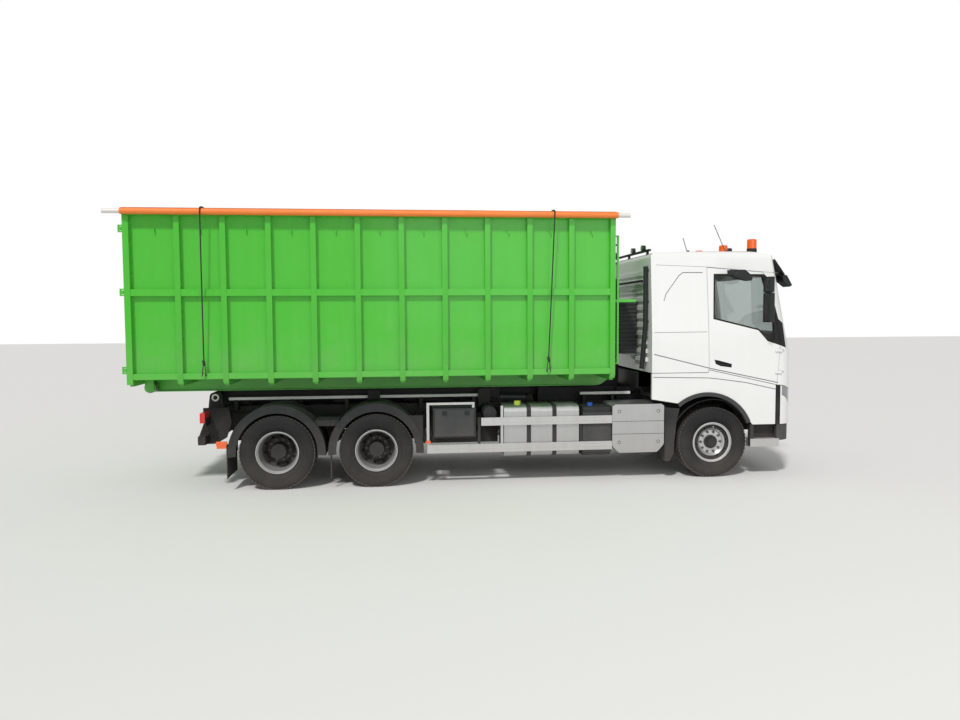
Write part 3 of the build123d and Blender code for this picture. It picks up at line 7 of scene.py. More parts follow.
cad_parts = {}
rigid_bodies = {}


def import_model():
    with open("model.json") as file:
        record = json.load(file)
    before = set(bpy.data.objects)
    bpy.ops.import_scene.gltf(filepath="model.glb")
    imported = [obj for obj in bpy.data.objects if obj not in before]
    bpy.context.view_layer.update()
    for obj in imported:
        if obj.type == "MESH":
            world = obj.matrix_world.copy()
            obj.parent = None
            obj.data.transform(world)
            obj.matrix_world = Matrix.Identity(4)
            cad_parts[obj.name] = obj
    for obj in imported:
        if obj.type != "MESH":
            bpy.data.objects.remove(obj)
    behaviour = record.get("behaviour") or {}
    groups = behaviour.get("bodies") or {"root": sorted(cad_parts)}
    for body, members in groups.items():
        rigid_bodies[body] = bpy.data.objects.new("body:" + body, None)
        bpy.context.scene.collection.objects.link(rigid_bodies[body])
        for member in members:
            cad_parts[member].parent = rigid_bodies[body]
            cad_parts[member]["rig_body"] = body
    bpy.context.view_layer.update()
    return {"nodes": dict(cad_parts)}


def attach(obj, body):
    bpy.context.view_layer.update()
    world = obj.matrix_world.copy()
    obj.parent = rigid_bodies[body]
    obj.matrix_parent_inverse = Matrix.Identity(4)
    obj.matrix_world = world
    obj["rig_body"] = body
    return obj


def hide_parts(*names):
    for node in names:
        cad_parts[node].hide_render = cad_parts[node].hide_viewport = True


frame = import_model()

# Camera
# Stands nearly twelve metres to the truck's right and two and a half metres up, and looks
# slightly forward and down, as the photograph does.
scene = bpy.context.scene
EYE = Vector((-0.990, -11.799, 2.423))
YAW, PITCH, ROLL = 0.1050, -0.0599, -0.0051
ahead = Vector((sin(YAW) * cos(PITCH), cos(YAW) * cos(PITCH), sin(PITCH)))
level = Vector((cos(YAW), -sin(YAW), 0))
raised = level.cross(ahead)
across = cos(ROLL) * level + sin(ROLL) * raised
upward = cos(ROLL) * raised - sin(ROLL) * level
lens = bpy.data.cameras.new("camera")
lens.sensor_width = 36
lens.lens = 28.125
lens.clip_end = 200
camera = bpy.data.objects.new("camera", lens)
camera.matrix_world = Matrix.Translation(EYE) @ Matrix((across, upward, -ahead)).transposed().to_4x4()
scene.collection.objects.link(camera)
scene.camera = camera
scene.view_settings.view_transform = "Standard"

# Studio floor and light
# A pale matt floor under the wheels, a high soft sun from behind the camera, a broad fill
# and an even white surround.


def add(tree, kind, inputs=(), **settings):
    """A shader node; an input is given a value or the socket it takes its value from."""
    made = tree.nodes.new(kind)
    for key, value in settings.items():
        setattr(made, key, value)
    for key, value in dict(inputs).items():
        if isinstance(value, bpy.types.NodeSocket):
            tree.links.new(value, made.inputs[key])
        else:
            made.inputs[key].default_value = value
    return made


def mix(tree, factor, first, second, blend="MIX"):
    """One colour over another by a mask."""
    made = add(tree, "ShaderNodeMix", {0: factor, 6: first, 7: second}, data_type="RGBA", blend_type=blend)
    return made.outputs[2]


def maths(tree, operation, first, second=0.0, third=0.0):
    """A sum on values or sockets."""
    made = add(tree, "ShaderNodeMath", {0: first, 1: second, 2: third}, operation=operation)
    return made.outputs[0]


FLOOR_REACH = 60
SURROUND_LIGHT = 0.47
floor_paint = bpy.data.materials.new("floor")
floor_paint.use_nodes = True
floor_shader = floor_paint.node_tree.nodes["Principled BSDF"]
floor_shader.inputs["Base Color"].default_value = (0.74, 0.74, 0.73, 1)
floor_shader.inputs["Roughness"].default_value = 0.9
floor_mesh = bpy.data.meshes.new("floor")
corners = [(x * FLOOR_REACH, y * FLOOR_REACH, 0) for x, y in ((-1, -1), (1, -1), (1, 1), (-1, 1))]
floor_mesh.from_pydata(corners, [], [(0, 1, 2, 3)])
floor_mesh.materials.append(floor_paint)
floor = bpy.data.objects.new("floor", floor_mesh)
scene.collection.objects.link(floor)

world = bpy.data.worlds.new("surround")
world.use_nodes = True
scene.world = world
surround = world.node_tree
surround.nodes.clear()
path = add(surround, "ShaderNodeLightPath")
strength = add(surround, "ShaderNodeMapRange", {
    "Value": path.outputs["Is Camera Ray"], "To Min": SURROUND_LIGHT, "To Max": 1.0})
sky = add(surround, "ShaderNodeBackground", {"Color": (1, 1, 1, 1), "Strength": strength.outputs[0]})
add(surround, "ShaderNodeOutputWorld", {"Surface": sky.outputs[0]})


def soft_light(name, kind, place, strength, tint=(1, 1, 1)):
    """A light that points at the middle of the truck."""
    lamp = bpy.data.lights.new(name, kind)
    lamp.energy = strength
    lamp.color = tint
    made = bpy.data.objects.new(name, lamp)
    made.location = place
    made.rotation_euler = (Vector((0, 0, 1.5)) - Vector(place)).to_track_quat("-Z", "Y").to_euler()
    scene.collection.objects.link(made)
    return lamp


soft_light("high_sun", "SUN", (-4, -8, 12), 2.15, (1, 0.985, 0.96)).angle = radians(6)
fill = soft_light("broad_fill", "AREA", (4, -14, 5), 260)
fill.shape = "RECTANGLE"
fill.size, fill.size_y = 12, 6

# Container walls
# Two sides of ribbed sheet steel with a sloping sill and a square top rail, welded up and
# sprayed bright green. The paint is scuffed by handling and dusty low down.


def new_group(name, inputs, outputs):
    """A shader node group with named inputs and outputs."""
    tree = bpy.data.node_groups.new(name, "ShaderNodeTree")
    for label, value in inputs:
        socket = tree.interface.new_socket(label, in_out="INPUT", socket_type="NodeSocketFloat")
        socket.default_value = value
    for label in outputs:
        tree.interface.new_socket(label, in_out="OUTPUT", socket_type="NodeSocketFloat")
    return tree, tree.nodes.new("NodeGroupInput"), tree.nodes.new("NodeGroupOutput")


def clouds(tree, place, scale, detail, roughness=0.5):
    """A noise mask over places on the piece."""
    made = add(tree, "ShaderNodeTexNoise", {
        "Vector": place, "Scale": scale, "Detail": detail, "Roughness": roughness})
    return made.outputs["Fac"]


# road dust: thick near the ground, broken up by noise, with runs down the sheet
road_dust, given, result = new_group(
    "road_dust", [("Top", 1.2), ("Amount", 0.5), ("Patch", 2.5)], ["Dust", "Runs"])
place = add(road_dust, "ShaderNodeTexCoord").outputs["Object"]
height = add(road_dust, "ShaderNodeSeparateXYZ", {0: place}).outputs["Z"]
low = maths(road_dust, "SUBTRACT", given.outputs["Top"], height)
low = maths(road_dust, "DIVIDE", low, given.outputs["Top"])
patches = maths(road_dust, "SUBTRACT", clouds(road_dust, place, given.outputs["Patch"], 7, 0.65), 0.5)
speckle = maths(road_dust, "SUBTRACT", clouds(road_dust, place, 38, 4, 0.6), 0.5)
spread = maths(road_dust, "MULTIPLY_ADD", patches, 1.3, low)
spread = maths(road_dust, "MULTIPLY_ADD", speckle, 0.5, spread)
spread = maths(road_dust, "MULTIPLY", spread, given.outputs["Amount"])
dusty = add(road_dust, "ShaderNodeClamp", {0: spread}).outputs[0]
drawn = add(road_dust, "ShaderNodeMapping", {"Vector": place, "Scale": (9, 9, 0.55)}).outputs[0]
road_dust.links.new(dusty, result.inputs["Dust"])
road_dust.links.new(clouds(road_dust, drawn, 1.0, 5, 0.6), result.inputs["Runs"])

# scuffs: thin scratches and chips that gather in patches
scuffs, given, result = new_group("scuffs", [("Amount", 0.3), ("Size", 30.0)], ["Mask"])
place = add(scuffs, "ShaderNodeTexCoord").outputs["Object"]
drawn = add(scuffs, "ShaderNodeMapping", {
    "Vector": place, "Scale": (0.35, 1, 1), "Rotation": (0, 0.25, 0)}).outputs[0]
scratch = clouds(scuffs, drawn, given.outputs["Size"], 9, 0.72)
where = clouds(scuffs, place, 1.7, 3)
chipped = add(scuffs, "ShaderNodeMapRange", {"Value": scratch, "From Min": 0.63, "From Max": 0.7})
gathered = add(scuffs, "ShaderNodeMapRange", {"Value": where, "From Min": 0.42, "From Max": 0.62})
mask = maths(scuffs, "MULTIPLY", chipped.outputs[0], gathered.outputs[0])
mask = maths(scuffs, "MULTIPLY", mask, given.outputs["Amount"])
scuffs.links.new(add(scuffs, "ShaderNodeClamp", {0: mask}).outputs[0], result.inputs["Mask"])

# grain: a fine surface height, stretched along an axis for brushed or rolled metal
grain, given, result = new_group("grain", [("Along", 60.0), ("Over", 60.0), ("Up", 60.0)], ["Height"])
place = add(grain, "ShaderNodeTexCoord").outputs["Object"]
stretch = add(grain, "ShaderNodeCombineXYZ", {
    0: given.outputs["Along"], 1: given.outputs["Over"], 2: given.outputs["Up"]})
drawn = add(grain, "ShaderNodeVectorMath", {0: place, 1: stretch.outputs[0]}, operation="MULTIPLY")
grain.links.new(clouds(grain, drawn.outputs[0], 1.0, 4, 0.55), result.inputs["Height"])

DUST_COLOUR = (0.33, 0.29, 0.24, 1)


def finish(name, colour, faded, roughness, metallic=0.0, coat=0.0, dust=0.4, dust_top=1.2, scuffed=0.2,
           scuff_colour=(0.5, 0.5, 0.48), scuff_size=30.0, grains=(55, 55, 55), grain_depth=0.0006,
           waves=0.0, shine=0.5):
    """A finish with faded runs, scuffs and road dust over its own grain."""
    material = bpy.data.materials.new(name)
    material.use_nodes = True
    tree = material.node_tree
    shader = tree.nodes["Principled BSDF"]
    shader.inputs["Specular IOR Level"].default_value = shine
    dirt = add(tree, "ShaderNodeGroup", node_tree=road_dust)
    dirt.inputs["Top"].default_value = dust_top
    dirt.inputs["Amount"].default_value = dust
    wear = add(tree, "ShaderNodeGroup", node_tree=scuffs)
    wear.inputs["Amount"].default_value = scuffed
    wear.inputs["Size"].default_value = scuff_size
    skin = add(tree, "ShaderNodeGroup", node_tree=grain)
    for label, value in zip(("Along", "Over", "Up"), grains):
        skin.inputs[label].default_value = value
    base = mix(tree, dirt.outputs["Runs"], (*colour, 1), (*faded, 1))
    base = mix(tree, wear.outputs["Mask"], base, (*scuff_colour, 1))
    base = mix(tree, dirt.outputs["Dust"], base, DUST_COLOUR)
    tree.links.new(base, shader.inputs["Base Color"])
    rough = maths(tree, "MULTIPLY_ADD", skin.outputs["Height"], 0.16, roughness - 0.08)
    rough = maths(tree, "MULTIPLY_ADD", dirt.outputs["Dust"], 0.4, rough)
    rough = maths(tree, "MULTIPLY_ADD", wear.outputs["Mask"], 0.25, rough)
    tree.links.new(add(tree, "ShaderNodeClamp", {0: rough}).outputs[0], shader.inputs["Roughness"])
    if metallic:
        bright = maths(tree, "SUBTRACT", metallic, maths(tree, "MULTIPLY", dirt.outputs["Dust"], metallic))
        tree.links.new(bright, shader.inputs["Metallic"])
    if coat:
        shader.inputs["Coat Roughness"].default_value = 0.08
        clean = maths(tree, "SUBTRACT", coat, maths(tree, "MULTIPLY", dirt.outputs["Dust"], coat))
        tree.links.new(clean, shader.inputs["Coat Weight"])
    bump = add(tree, "ShaderNodeBump", {
        "Height": skin.outputs["Height"], "Distance": grain_depth, "Strength": 0.6})
    if waves:
        place = add(tree, "ShaderNodeTexCoord").outputs["Object"]
        bump = add(tree, "ShaderNodeBump", {
            "Height": clouds(tree, place, 3.1, 2), "Distance": waves, "Strength": 1.0,
            "Normal": bump.outputs[0]})
    tree.links.new(bump.outputs[0], shader.inputs["Normal"])
    return material


container_green = finish("container_green", (0.052, 0.45, 0.020), (0.075, 0.50, 0.035), 0.38, coat=0.25,
                         dust=0.34, dust_top=2.3, scuffed=0.55, scuff_colour=(0.25, 0.30, 0.16),
                         grain_depth=0.0005, waves=0.012)
WELD = 2e-5
# the pair of axes that is seen from the side, and from the front
FROM_SIDE, FROM_FRONT = (0, 2), (1, 2)


def within(outline, u, v):
    """Whether a point lies inside a closed outline."""
    hit = False
    for (a, b), (c, d) in zip(outline, outline[1:] + outline[:1]):
        if (b > v) != (d > v) and u < (c - a) * (v - b) / (d - b) + a:
            hit = not hit
    return hit


def scored(work, outline, flat):
    """Cuts the faces along an outline seen along an axis: flat is the seen pair of axes."""
    first, second = flat
    for (a, b), (c, d) in zip(outline, outline[1:] + outline[:1]):
        point, across = Vector((0, 0, 0)), Vector((0, 0, 0))
        point[first], point[second] = a, b
        across[first], across[second] = b - d, c - a
        low, high = min(a, c) - 0.02, max(a, c) + 0.02
        near = [f for f in work.faces if max(v.co[first] for v in f.verts) > low
                and min(v.co[first] for v in f.verts) < high]
        parts = near + list({e for f in near for e in f.edges}) + list({v for f in near for v in f.verts})
        bmesh.ops.bisect_plane(work, geom=parts, plane_co=point, plane_no=across, dist=1e-5)


def as_object(name, work, materials):
    """The mesh that was worked on, as an object with its finishes."""
    mesh = bpy.data.meshes.new(name)
    work.to_mesh(mesh)
    work.free()
    for material in materials:
        mesh.materials.append(material)
    made = bpy.data.objects.new(name, mesh)
    scene.collection.objects.link(made)
    return made


def edged(made, width, sharp):
    """Small round edges on the sharp corners of a piece."""
    rounded = made.modifiers.new("edges", "BEVEL")
    rounded.width = width
    rounded.segments = 2
    rounded.limit_method = "ANGLE"
    rounded.angle_limit = radians(sharp)
    rounded.harden_normals = True


def dressed(node, materials, bevel=0.003, sharp=32, pick=None, marks=()):
    """A copy of a CAD piece with its facets joined, its edges broken and its curves smooth."""
    work = bmesh.new()
    work.from_mesh(frame["nodes"][node].data)
    bmesh.ops.remove_doubles(work, verts=work.verts, dist=WELD)
    bmesh.ops.dissolve_degenerate(work, dist=1e-5, edges=work.edges)
    for outline, flat in marks:
        scored(work, outline, flat)
    work.normal_update()
    for face in work.faces:
        face.smooth = True
        face.material_index = pick(face.calc_center_median(), face.normal) if pick else 0
    bmesh.ops.dissolve_limit(work, angle_limit=radians(0.4), verts=work.verts, edges=work.edges,
                             delimit={"MATERIAL"})
    for edge in work.edges:
        edge.smooth = edge.calc_face_angle(pi) < radians(sharp)
    made = as_object(node + "_made", work, materials)
    if bevel:
        edged(made, bevel, sharp)
    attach(made, frame["nodes"][node]["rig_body"])
    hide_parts(node)


dressed("container_sides", [container_green])

# Container doors, floor and front wall
# Rear leaves of framed sheet on strap hinges, the floor on its runners with the ground
# rollers, and the front wall with the hook bar, platform and ladder, all welded steel.
bare_steel = finish("bare_steel", (0.30, 0.30, 0.30), (0.20, 0.17, 0.14), 0.42, metallic=0.9, dust=0.3,
                    grains=(30, 30, 30))
ROLLER_FRONT, ROLLER_TOP = -4.46, 1.49
ROLLER_INNER, ROLLER_OUTER = 0.56, 0.72


def floor_paint_pick(centre, normal):
    """The ground rollers run bare; all else on the floor is painted."""
    bare = centre.x < ROLLER_FRONT and centre.z < ROLLER_TOP and ROLLER_INNER < abs(centre.y) < ROLLER_OUTER
    return 1 if bare else 0


dressed("container_floor", [container_green, bare_steel], pick=floor_paint_pick)
dressed("container_front", [container_green])
for side in ("right", "left"):
    dressed("container_door_" + side, [container_green])

# Cover, its tube and its ropes
# Orange coated cloth fixed along the left rail, laid over the top and wound on a white tube
# along the right rail, held down by two black ropes with steel triangles on hooks.
cover_cloth = finish("cover_cloth", (0.84, 0.19, 0.025), (0.88, 0.25, 0.05), 0.55, dust=0.12, dust_top=4.2,
                     scuffed=0.9, scuff_colour=(0.85, 0.83, 0.80), scuff_size=14, grains=(900, 900, 900),
                     grain_depth=0.0004, waves=0.01)
tube_paint = finish("tube_paint", (0.76, 0.75, 0.71), (0.66, 0.65, 0.61), 0.4, dust=0.1, dust_top=4,
                    scuffed=0.7, scuff_colour=(0.28, 0.26, 0.24), scuff_size=16)
rope_yarn = finish("rope_yarn", (0.012, 0.012, 0.014), (0.03, 0.03, 0.032), 0.8, dust=0.1,
                   grains=(160, 160, 420), grain_depth=0.002)

RAIL_Z = 3.860
COVER_LEFT = 1.268
COVER_REAR, COVER_FRONT = -4.667, 2.075
COVER_WIDTH, COVER_THICKNESS = 2.606, 0.002
# how high the cover's edge lies over the rail, and its crown over that edge, on each side
LEFT_EDGE, LEFT_CROWN = 0.0035, 0.063
RIGHT_EDGE, RIGHT_CROWN = 0.0135, 0.0525
# ripples in the slack cloth: height, waves along, waves over, and place in the noise
RIPPLES = ((0.007, 1.9, 0.9, 0), (0.003, 7.0, 2.2, 3))
ROLL_Y, ROLL_Z, ROLL_RADIUS = -1.326, 3.825, 0.045
STEPS_ALONG, STEPS_OVER = 168, 44
work = bmesh.new()
grid = []
for i in range(STEPS_ALONG + 1):
    x = COVER_REAR + (COVER_FRONT - COVER_REAR) * i / STEPS_ALONG
    row = []
    for k in range(STEPS_OVER + 1):
        y = COVER_LEFT - (COVER_LEFT - ROLL_Y) * k / STEPS_OVER
        free = max(0.0, 1 - (y / COVER_LEFT) ** 2)
        edge, crown = (LEFT_EDGE, LEFT_CROWN) if y > 0 else (RIGHT_EDGE, RIGHT_CROWN)
        z = RAIL_Z + edge + crown * free
        for ripple, along, over, start in RIPPLES:
            z += free * ripple * noise.noise(Vector((x * along, y * over, start)))
        row.append(work.verts.new((x, y, z)))
    grid.append(row)
for i in range(STEPS_ALONG):
    for k in range(STEPS_OVER):
        work.faces.new((grid[i][k], grid[i][k + 1], grid[i + 1][k + 1], grid[i + 1][k]))
bmesh.ops.recalc_face_normals(work, faces=work.faces)
if work.faces[0].normal.z < 0:
    bmesh.ops.reverse_faces(work, faces=work.faces)
for face in work.faces:
    face.smooth = True
cover = as_object("cover", work, [cover_cloth])
thick = cover.modifiers.new("cloth", "SOLIDIFY")
thick.thickness = COVER_THICKNESS
thick.offset = 0
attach(cover, "load")
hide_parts("tarp")


def place_on(name, work, materials, body, sharp=35):
    """A finished mesh in its place, riding on a body; curves smooth and corners sharp."""
    bmesh.ops.recalc_face_normals(work, faces=work.faces)
    for edge in work.edges:
        edge.smooth = edge.calc_face_angle(pi) < radians(sharp)
    for face in work.faces:
        face.smooth = True
    made = as_object(name, work, materials)
    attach(made, body)
    return made


def skinned(work, loops, material=0):
    """Faces between closed loops of points, one loop after another."""
    for first, second in zip(loops, loops[1:]):
        for k in range(len(first)):
            after = (k + 1) % len(first)
            face = work.faces.new((first[k], first[after], second[after], second[k]))
            face.material_index = material


def wound_tube(work, x0, x1, radius, turns, wobble, material):
    """A tube along the truck with the slight ridges of cloth wound on it, closed at its ends."""
    around, along = 28, max(2, int((x1 - x0) / 0.04))
    rings = []
    for i in range(along + 1):
        x = x0 + (x1 - x0) * i / along
        loop = []
        for k in range(around):
            angle = 2 * pi * k / around
            ridge = noise.noise(Vector((x * 3, turns * cos(angle), turns * sin(angle))))
            r = radius - wobble * (0.5 + 0.5 * ridge)
            loop.append(work.verts.new((x, ROLL_Y + r * cos(angle), ROLL_Z + r * sin(angle))))
        rings.append(loop)
    skinned(work, rings, material)
    for loop in (rings[0], rings[-1]):
        work.faces.new(loop).material_index = material


TUBE_REAR, TUBE_FRONT, TUBE_RADIUS = -4.900, 2.268, 0.032
ROLL_REAR, ROLL_FRONT, ROLL_WOBBLE = -4.672, 2.093, 0.004
work = bmesh.new()
wound_tube(work, TUBE_REAR, TUBE_FRONT, TUBE_RADIUS, 1, 0.0, 0)
wound_tube(work, ROLL_REAR, ROLL_FRONT, ROLL_RADIUS, 2, ROLL_WOBBLE, 1)
roll = place_on("cover_roll", work, [tube_paint, cover_cloth], "load")
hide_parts("tarp_tube")

ROPE_DIAMETER, ROPE_LENGTH, ROPE_Y = 0.018, 2.2, -1.240
# each rope's name, and where it crosses the roll and where it is hooked, along the truck
ROPES = (("rope_rear", -3.636, -3.657), ("rope_front", 1.173, 1.103))
HOOK_Y, HOOK_Z = -1.282, 1.799
WRAP = ROLL_RADIUS + ROPE_DIAMETER
BEND = WRAP * (2 ** 0.5 - 1)
ropes = []
for name, top_x, end_x in ROPES:
    route = [(top_x, ROPE_Y, ROLL_Z + WRAP), (top_x, ROLL_Y - BEND, ROLL_Z + WRAP),
             (top_x, ROLL_Y - WRAP, ROLL_Z + BEND), (end_x, HOOK_Y, HOOK_Z)]
    curve = bpy.data.curves.new(name + "_yarn", "CURVE")
    curve.dimensions = "3D"
    curve.bevel_depth = ROPE_DIAMETER / 2
    curve.bevel_resolution = 4
    curve.resolution_u = 24
    curve.use_fill_caps = True
    spline = curve.splines.new("NURBS")
    spline.points.add(len(route) - 1)
    for point, where in zip(spline.points, route):
        point.co = (*where, 1)
    spline.order_u = 3
    spline.use_endpoint_u = True
    curve.materials.append(rope_yarn)
    cord = bpy.data.objects.new(name + "_yarn", curve)
    scene.collection.objects.link(cord)
    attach(cord, "load")
    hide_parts(name)
    ropes.append(cord)
hook_steel = finish("hook_steel", (0.02, 0.02, 0.022), (0.06, 0.05, 0.045), 0.5, dust=0.2)
dressed("rope_hooks", [hook_steel], bevel=0.001)


def knotted(name, places, radius, shape):
    """Turns of yarn pulled tight into a knot."""
    work = bmesh.new()
    for place in places:
        turn = Matrix.Translation(place) @ Matrix.Diagonal((*shape, 1))
        bmesh.ops.create_uvsphere(work, u_segments=14, v_segments=8, radius=radius, matrix=turn)
    return place_on(name, work, [rope_yarn], "load", sharp=80)


for cord, (name, top_x, end_x) in zip(ropes, ROPES):
    knotted(name + "_end", [(end_x + 0.004 * (step - 1), HOOK_Y - 0.001, HOOK_Z + 0.013 - 0.022 * step)
                            for step in range(3)], 0.017, (1.2, 0.8, 1.1))
    knot = knotted(name + "_knot", [(top_x, ROPE_Y - 0.016 - 0.012 * step, ROLL_Z + WRAP + 0.002)
                                    for step in range(3)], 0.013, (1.35, 0.8, 1.0))

# Hook lift
# The subframe bolted on the chassis rails, the tipping frame on its rear shaft, the hook arm
# that slides in it, and the two tipping cylinders, in black paint with hard chromed rods,
# and the light alloy side rails that steady the container, their colour paled with painted light.
lift_paint = finish("lift_paint", (0.008, 0.008, 0.009), (0.014, 0.014, 0.015), 0.45, dust=0.10,
                    dust_top=1.5, scuffed=0.25, scuff_colour=(0.10, 0.08, 0.07), shine=0.25)
# painted light: the rails' alloy is made paler, standing for sunlight on them in the shade under the
# container
rail_alloy_painted_light = finish("rail_alloy_painted_light", (0.80, 0.80, 0.80), (0.66, 0.66, 0.65), 0.5, dust=0.1,
                    grains=(2, 220, 220))
cylinder_paint = finish("cylinder_paint", (0.03, 0.03, 0.034), (0.05, 0.05, 0.055), 0.4, dust=0.4)
rod_chrome = finish("rod_chrome", (0.72, 0.72, 0.73), (0.66, 0.66, 0.67), 0.16, metallic=1.0, dust=0.12,
                    scuffed=0.05, grains=(4, 300, 300), grain_depth=0.0001)
RING_INNER = 0.6515
STRIP_INNER, STRIP_OUTER = 0.515, 0.562
STRIP_FOOT, STRIP_TOP = 1.196, 1.237


def subframe_pick(centre, normal):
    """The rings at the shaft's ends are white; the rest is black."""
    return 1 if abs(centre.y) > RING_INNER else 0


def rail_pick(centre, normal):
    """The side rails are light alloy on painted posts; their colour is brightened with painted light."""
    strip = STRIP_INNER < abs(centre.y) < STRIP_OUTER and STRIP_FOOT < centre.z < STRIP_TOP
    return 1 if strip else 0


dressed("hooklift_subframe", [lift_paint, tube_paint], pick=subframe_pick)
dressed("load_rails", [lift_paint, rail_alloy_painted_light], pick=rail_pick,
        marks=[([(-3.60, STRIP_FOOT), (2.60, STRIP_FOOT)], FROM_SIDE)])
dressed("tipping_frame", [lift_paint])
dressed("hook_arm", [lift_paint])
dressed("tip_cylinders", [cylinder_paint])
dressed("tip_rods", [rod_chrome], bevel=0.001)

# Chassis frame, axles and engine
# Two channel rails with crossmembers, a steered drop axle on leaf springs, two driven axles
# with their bogie springs, and the engine and gearbox, all black under a film of road dust.
chassis_paint = finish("chassis_paint", (0.009, 0.009, 0.010), (0.016, 0.016, 0.017), 0.5, dust=0.18,
                       dust_top=1.1, scuffed=0.3, scuff_colour=(0.10, 0.07, 0.05), shine=0.25)
cast_iron = finish("cast_iron", (0.05, 0.048, 0.046), (0.08, 0.07, 0.06), 0.6, metallic=0.4, dust=0.4,
                   dust_top=1.0, grains=(90, 90, 90), grain_depth=0.0015)
for node in ("frame_rails", "knuckle_right", "knuckle_left"):
    dressed(node, [chassis_paint])
for node in ("front_axle", "rear_axles", "engine_block"):
    dressed(node, [cast_iron], bevel=0.004)

# Tanks, boxes, guards and lamps
# Aluminium tanks and silencer cover, black moulded boxes and mudguards, extruded aluminium
# side guards on uprights, and the lamps on the tail board and uprights.
tank_alloy = finish("tank_alloy", (0.56, 0.57, 0.58), (0.47, 0.47, 0.47), 0.36, metallic=0.92, dust=0.45,
                    dust_top=1.1, grains=(260, 3, 3), grain_depth=0.0003)
guard_alloy = finish("guard_alloy", (0.66, 0.66, 0.66), (0.54, 0.54, 0.53), 0.42, metallic=0.85, dust=0.4,
                     dust_top=1.0, grains=(2, 260, 260), grain_depth=0.0003)
# black moulding, also used as painted shade deep in the silencer's creases and on the two middle guard
# uprights
black_moulding_and_shade = finish("black_moulding_and_shade", (0.016, 0.017, 0.018), (0.024, 0.025, 0.027), 0.6, dust=0.16,
                        dust_top=1.1, grains=(420, 420, 420), grain_depth=0.0006, shine=0.3)
grey_moulding = finish("grey_moulding", (0.036, 0.038, 0.041), (0.048, 0.05, 0.053), 0.58, dust=0.2,
                       dust_top=1.1, grains=(420, 420, 420), grain_depth=0.0006, shine=0.35)
amber_lens = finish("amber_lens", (0.80, 0.10, 0.008), (0.86, 0.14, 0.012), 0.18, coat=0.6, dust=0.15,
                    dust_top=1.0, grains=(90, 90, 90), grain_depth=0.0008)
red_lens = finish("red_lens", (0.50, 0.008, 0.008), (0.60, 0.015, 0.012), 0.2, coat=0.6, dust=0.2,
                  dust_top=1.1, grains=(90, 90, 90), grain_depth=0.0008)
clear_lens = finish("clear_lens", (0.30, 0.32, 0.34), (0.26, 0.28, 0.29), 0.12, metallic=0.55, coat=0.8,
                    dust=0.1, grains=(30, 260, 260), grain_depth=0.001)
# grey sealant for the roof seam, and grey painted shade in the cab's pressed grooves and the silencer cover's
# creases
seam_grey_and_groove_shade = finish("seam_grey_and_groove_shade", (0.20, 0.20, 0.20), (0.16, 0.16, 0.16), 0.5, dust=0.2)
cap_yellow = finish("cap_yellow", (0.42, 0.55, 0.03), (0.35, 0.45, 0.05), 0.5, dust=0.2)
cap_blue = finish("cap_blue", (0.01, 0.07, 0.42), (0.02, 0.10, 0.45), 0.45, dust=0.15)
# each cap's middle, along the truck and across it, and the height from which it shows
FUEL_CAP, FUEL_CAP_FOOT = (0.69, -1.02), 1.1235
UREA_CAP, UREA_CAP_FOOT = (1.76, -1.06), 1.086
STRAP_STARTS, STRAP_WIDTH = (0.800, 1.175), 0.063
SILENCER_REAR = 2.06
MIDDLE_POSTS = (0.109, 1.596)
STEP_TOP, STEP_FRONT = 0.5661, 4.5999


def tank_pick(centre, normal):
    """Black straps and a yellow cap on bare tanks, and painted shade in the silencer cover's creases: grey at
    their edges, black deeper in.
    """
    if centre.z > FUEL_CAP_FOOT and hypot(centre.x - FUEL_CAP[0], centre.y - FUEL_CAP[1]) < 0.06:
        return 2
    # painted shade in the silencer's creases: grey near the face, black deeper in
    if centre.x > SILENCER_REAR and -1.2215 < centre.y < -1.2165:
        return 3 if centre.y < -1.2195 else 1
    return 1 if any(start - 0.001 < centre.x < start + STRAP_WIDTH for start in STRAP_STARTS) else 0


def box_pick(centre, normal):
    """Grey plates on the toolbox and the urea tank, and the tank's blue cap."""
    if centre.z > UREA_CAP_FOOT and hypot(centre.x - UREA_CAP[0], centre.y - UREA_CAP[1]) < 0.05:
        return 2
    return 1 if -1.2005 < centre.y < -1.1945 else 0


def guard_pick(centre, normal):
    """The two middle uprights are black as painted shade, so they sink into the shade behind the bright
    rails.
    """
    return 1 if abs(centre.y) < 1.2085 and min(abs(centre.x - x) for x in MIDDLE_POSTS) < 0.03 else 0


def step_pick(centre, normal):
    """Bright boarding steps under the grey bumper."""
    return 1 if centre.z < STEP_TOP and centre.x < STEP_FRONT else 0


def lamp_pick(centre, normal):
    """Red at the tail, clear at the front and amber between."""
    if centre.x > 4:
        return 2
    return 0 if centre.x < -3.69 else 1


dressed("fuel_tanks", [tank_alloy, black_moulding_and_shade, cap_yellow, seam_grey_and_groove_shade], bevel=0.004, pick=tank_pick)
dressed("chassis_boxes", [black_moulding_and_shade, grey_moulding, cap_blue], bevel=0.004, pick=box_pick)
dressed("side_guards", [guard_alloy, black_moulding_and_shade], pick=guard_pick)
dressed("mudguards", [black_moulding_and_shade], bevel=0.002)
dressed("front_steps", [grey_moulding, guard_alloy], bevel=0.006, pick=step_pick)
dressed("lamps", [red_lens, amber_lens, clear_lens], bevel=0.002, pick=lamp_pick)

# Black panels and small parts along the frame
# Pressed sheet and moulded panels bolted to the frame on both sides: skirts of the rear
# mudguards, panels beside the flaps and steps, and plates at the tail; and dark sheets of
# painted shade under the hook arm, by the steps, in the wheel arch, behind the cab and
# between the axles, where shade falls under the truck.


def plate(work, outline, start, end, flat=FROM_SIDE):
    """A flat piece with its outline on one pair of axes and its thickness on the third."""
    first, second = flat
    loops = []
    for depth in (start, end):
        loop = []
        for u, v in outline:
            point = Vector((depth, depth, depth))
            point[first], point[second] = u, v
            loop.append(work.verts.new(point))
        work.faces.new(loop)
        loops.append(loop)
    skinned(work, loops)


def oblong(x0, x1, z0, z1):
    """The outline of a square-cut plate."""
    return [(x0, z0), (x1, z0), (x1, z1), (x0, z1)]


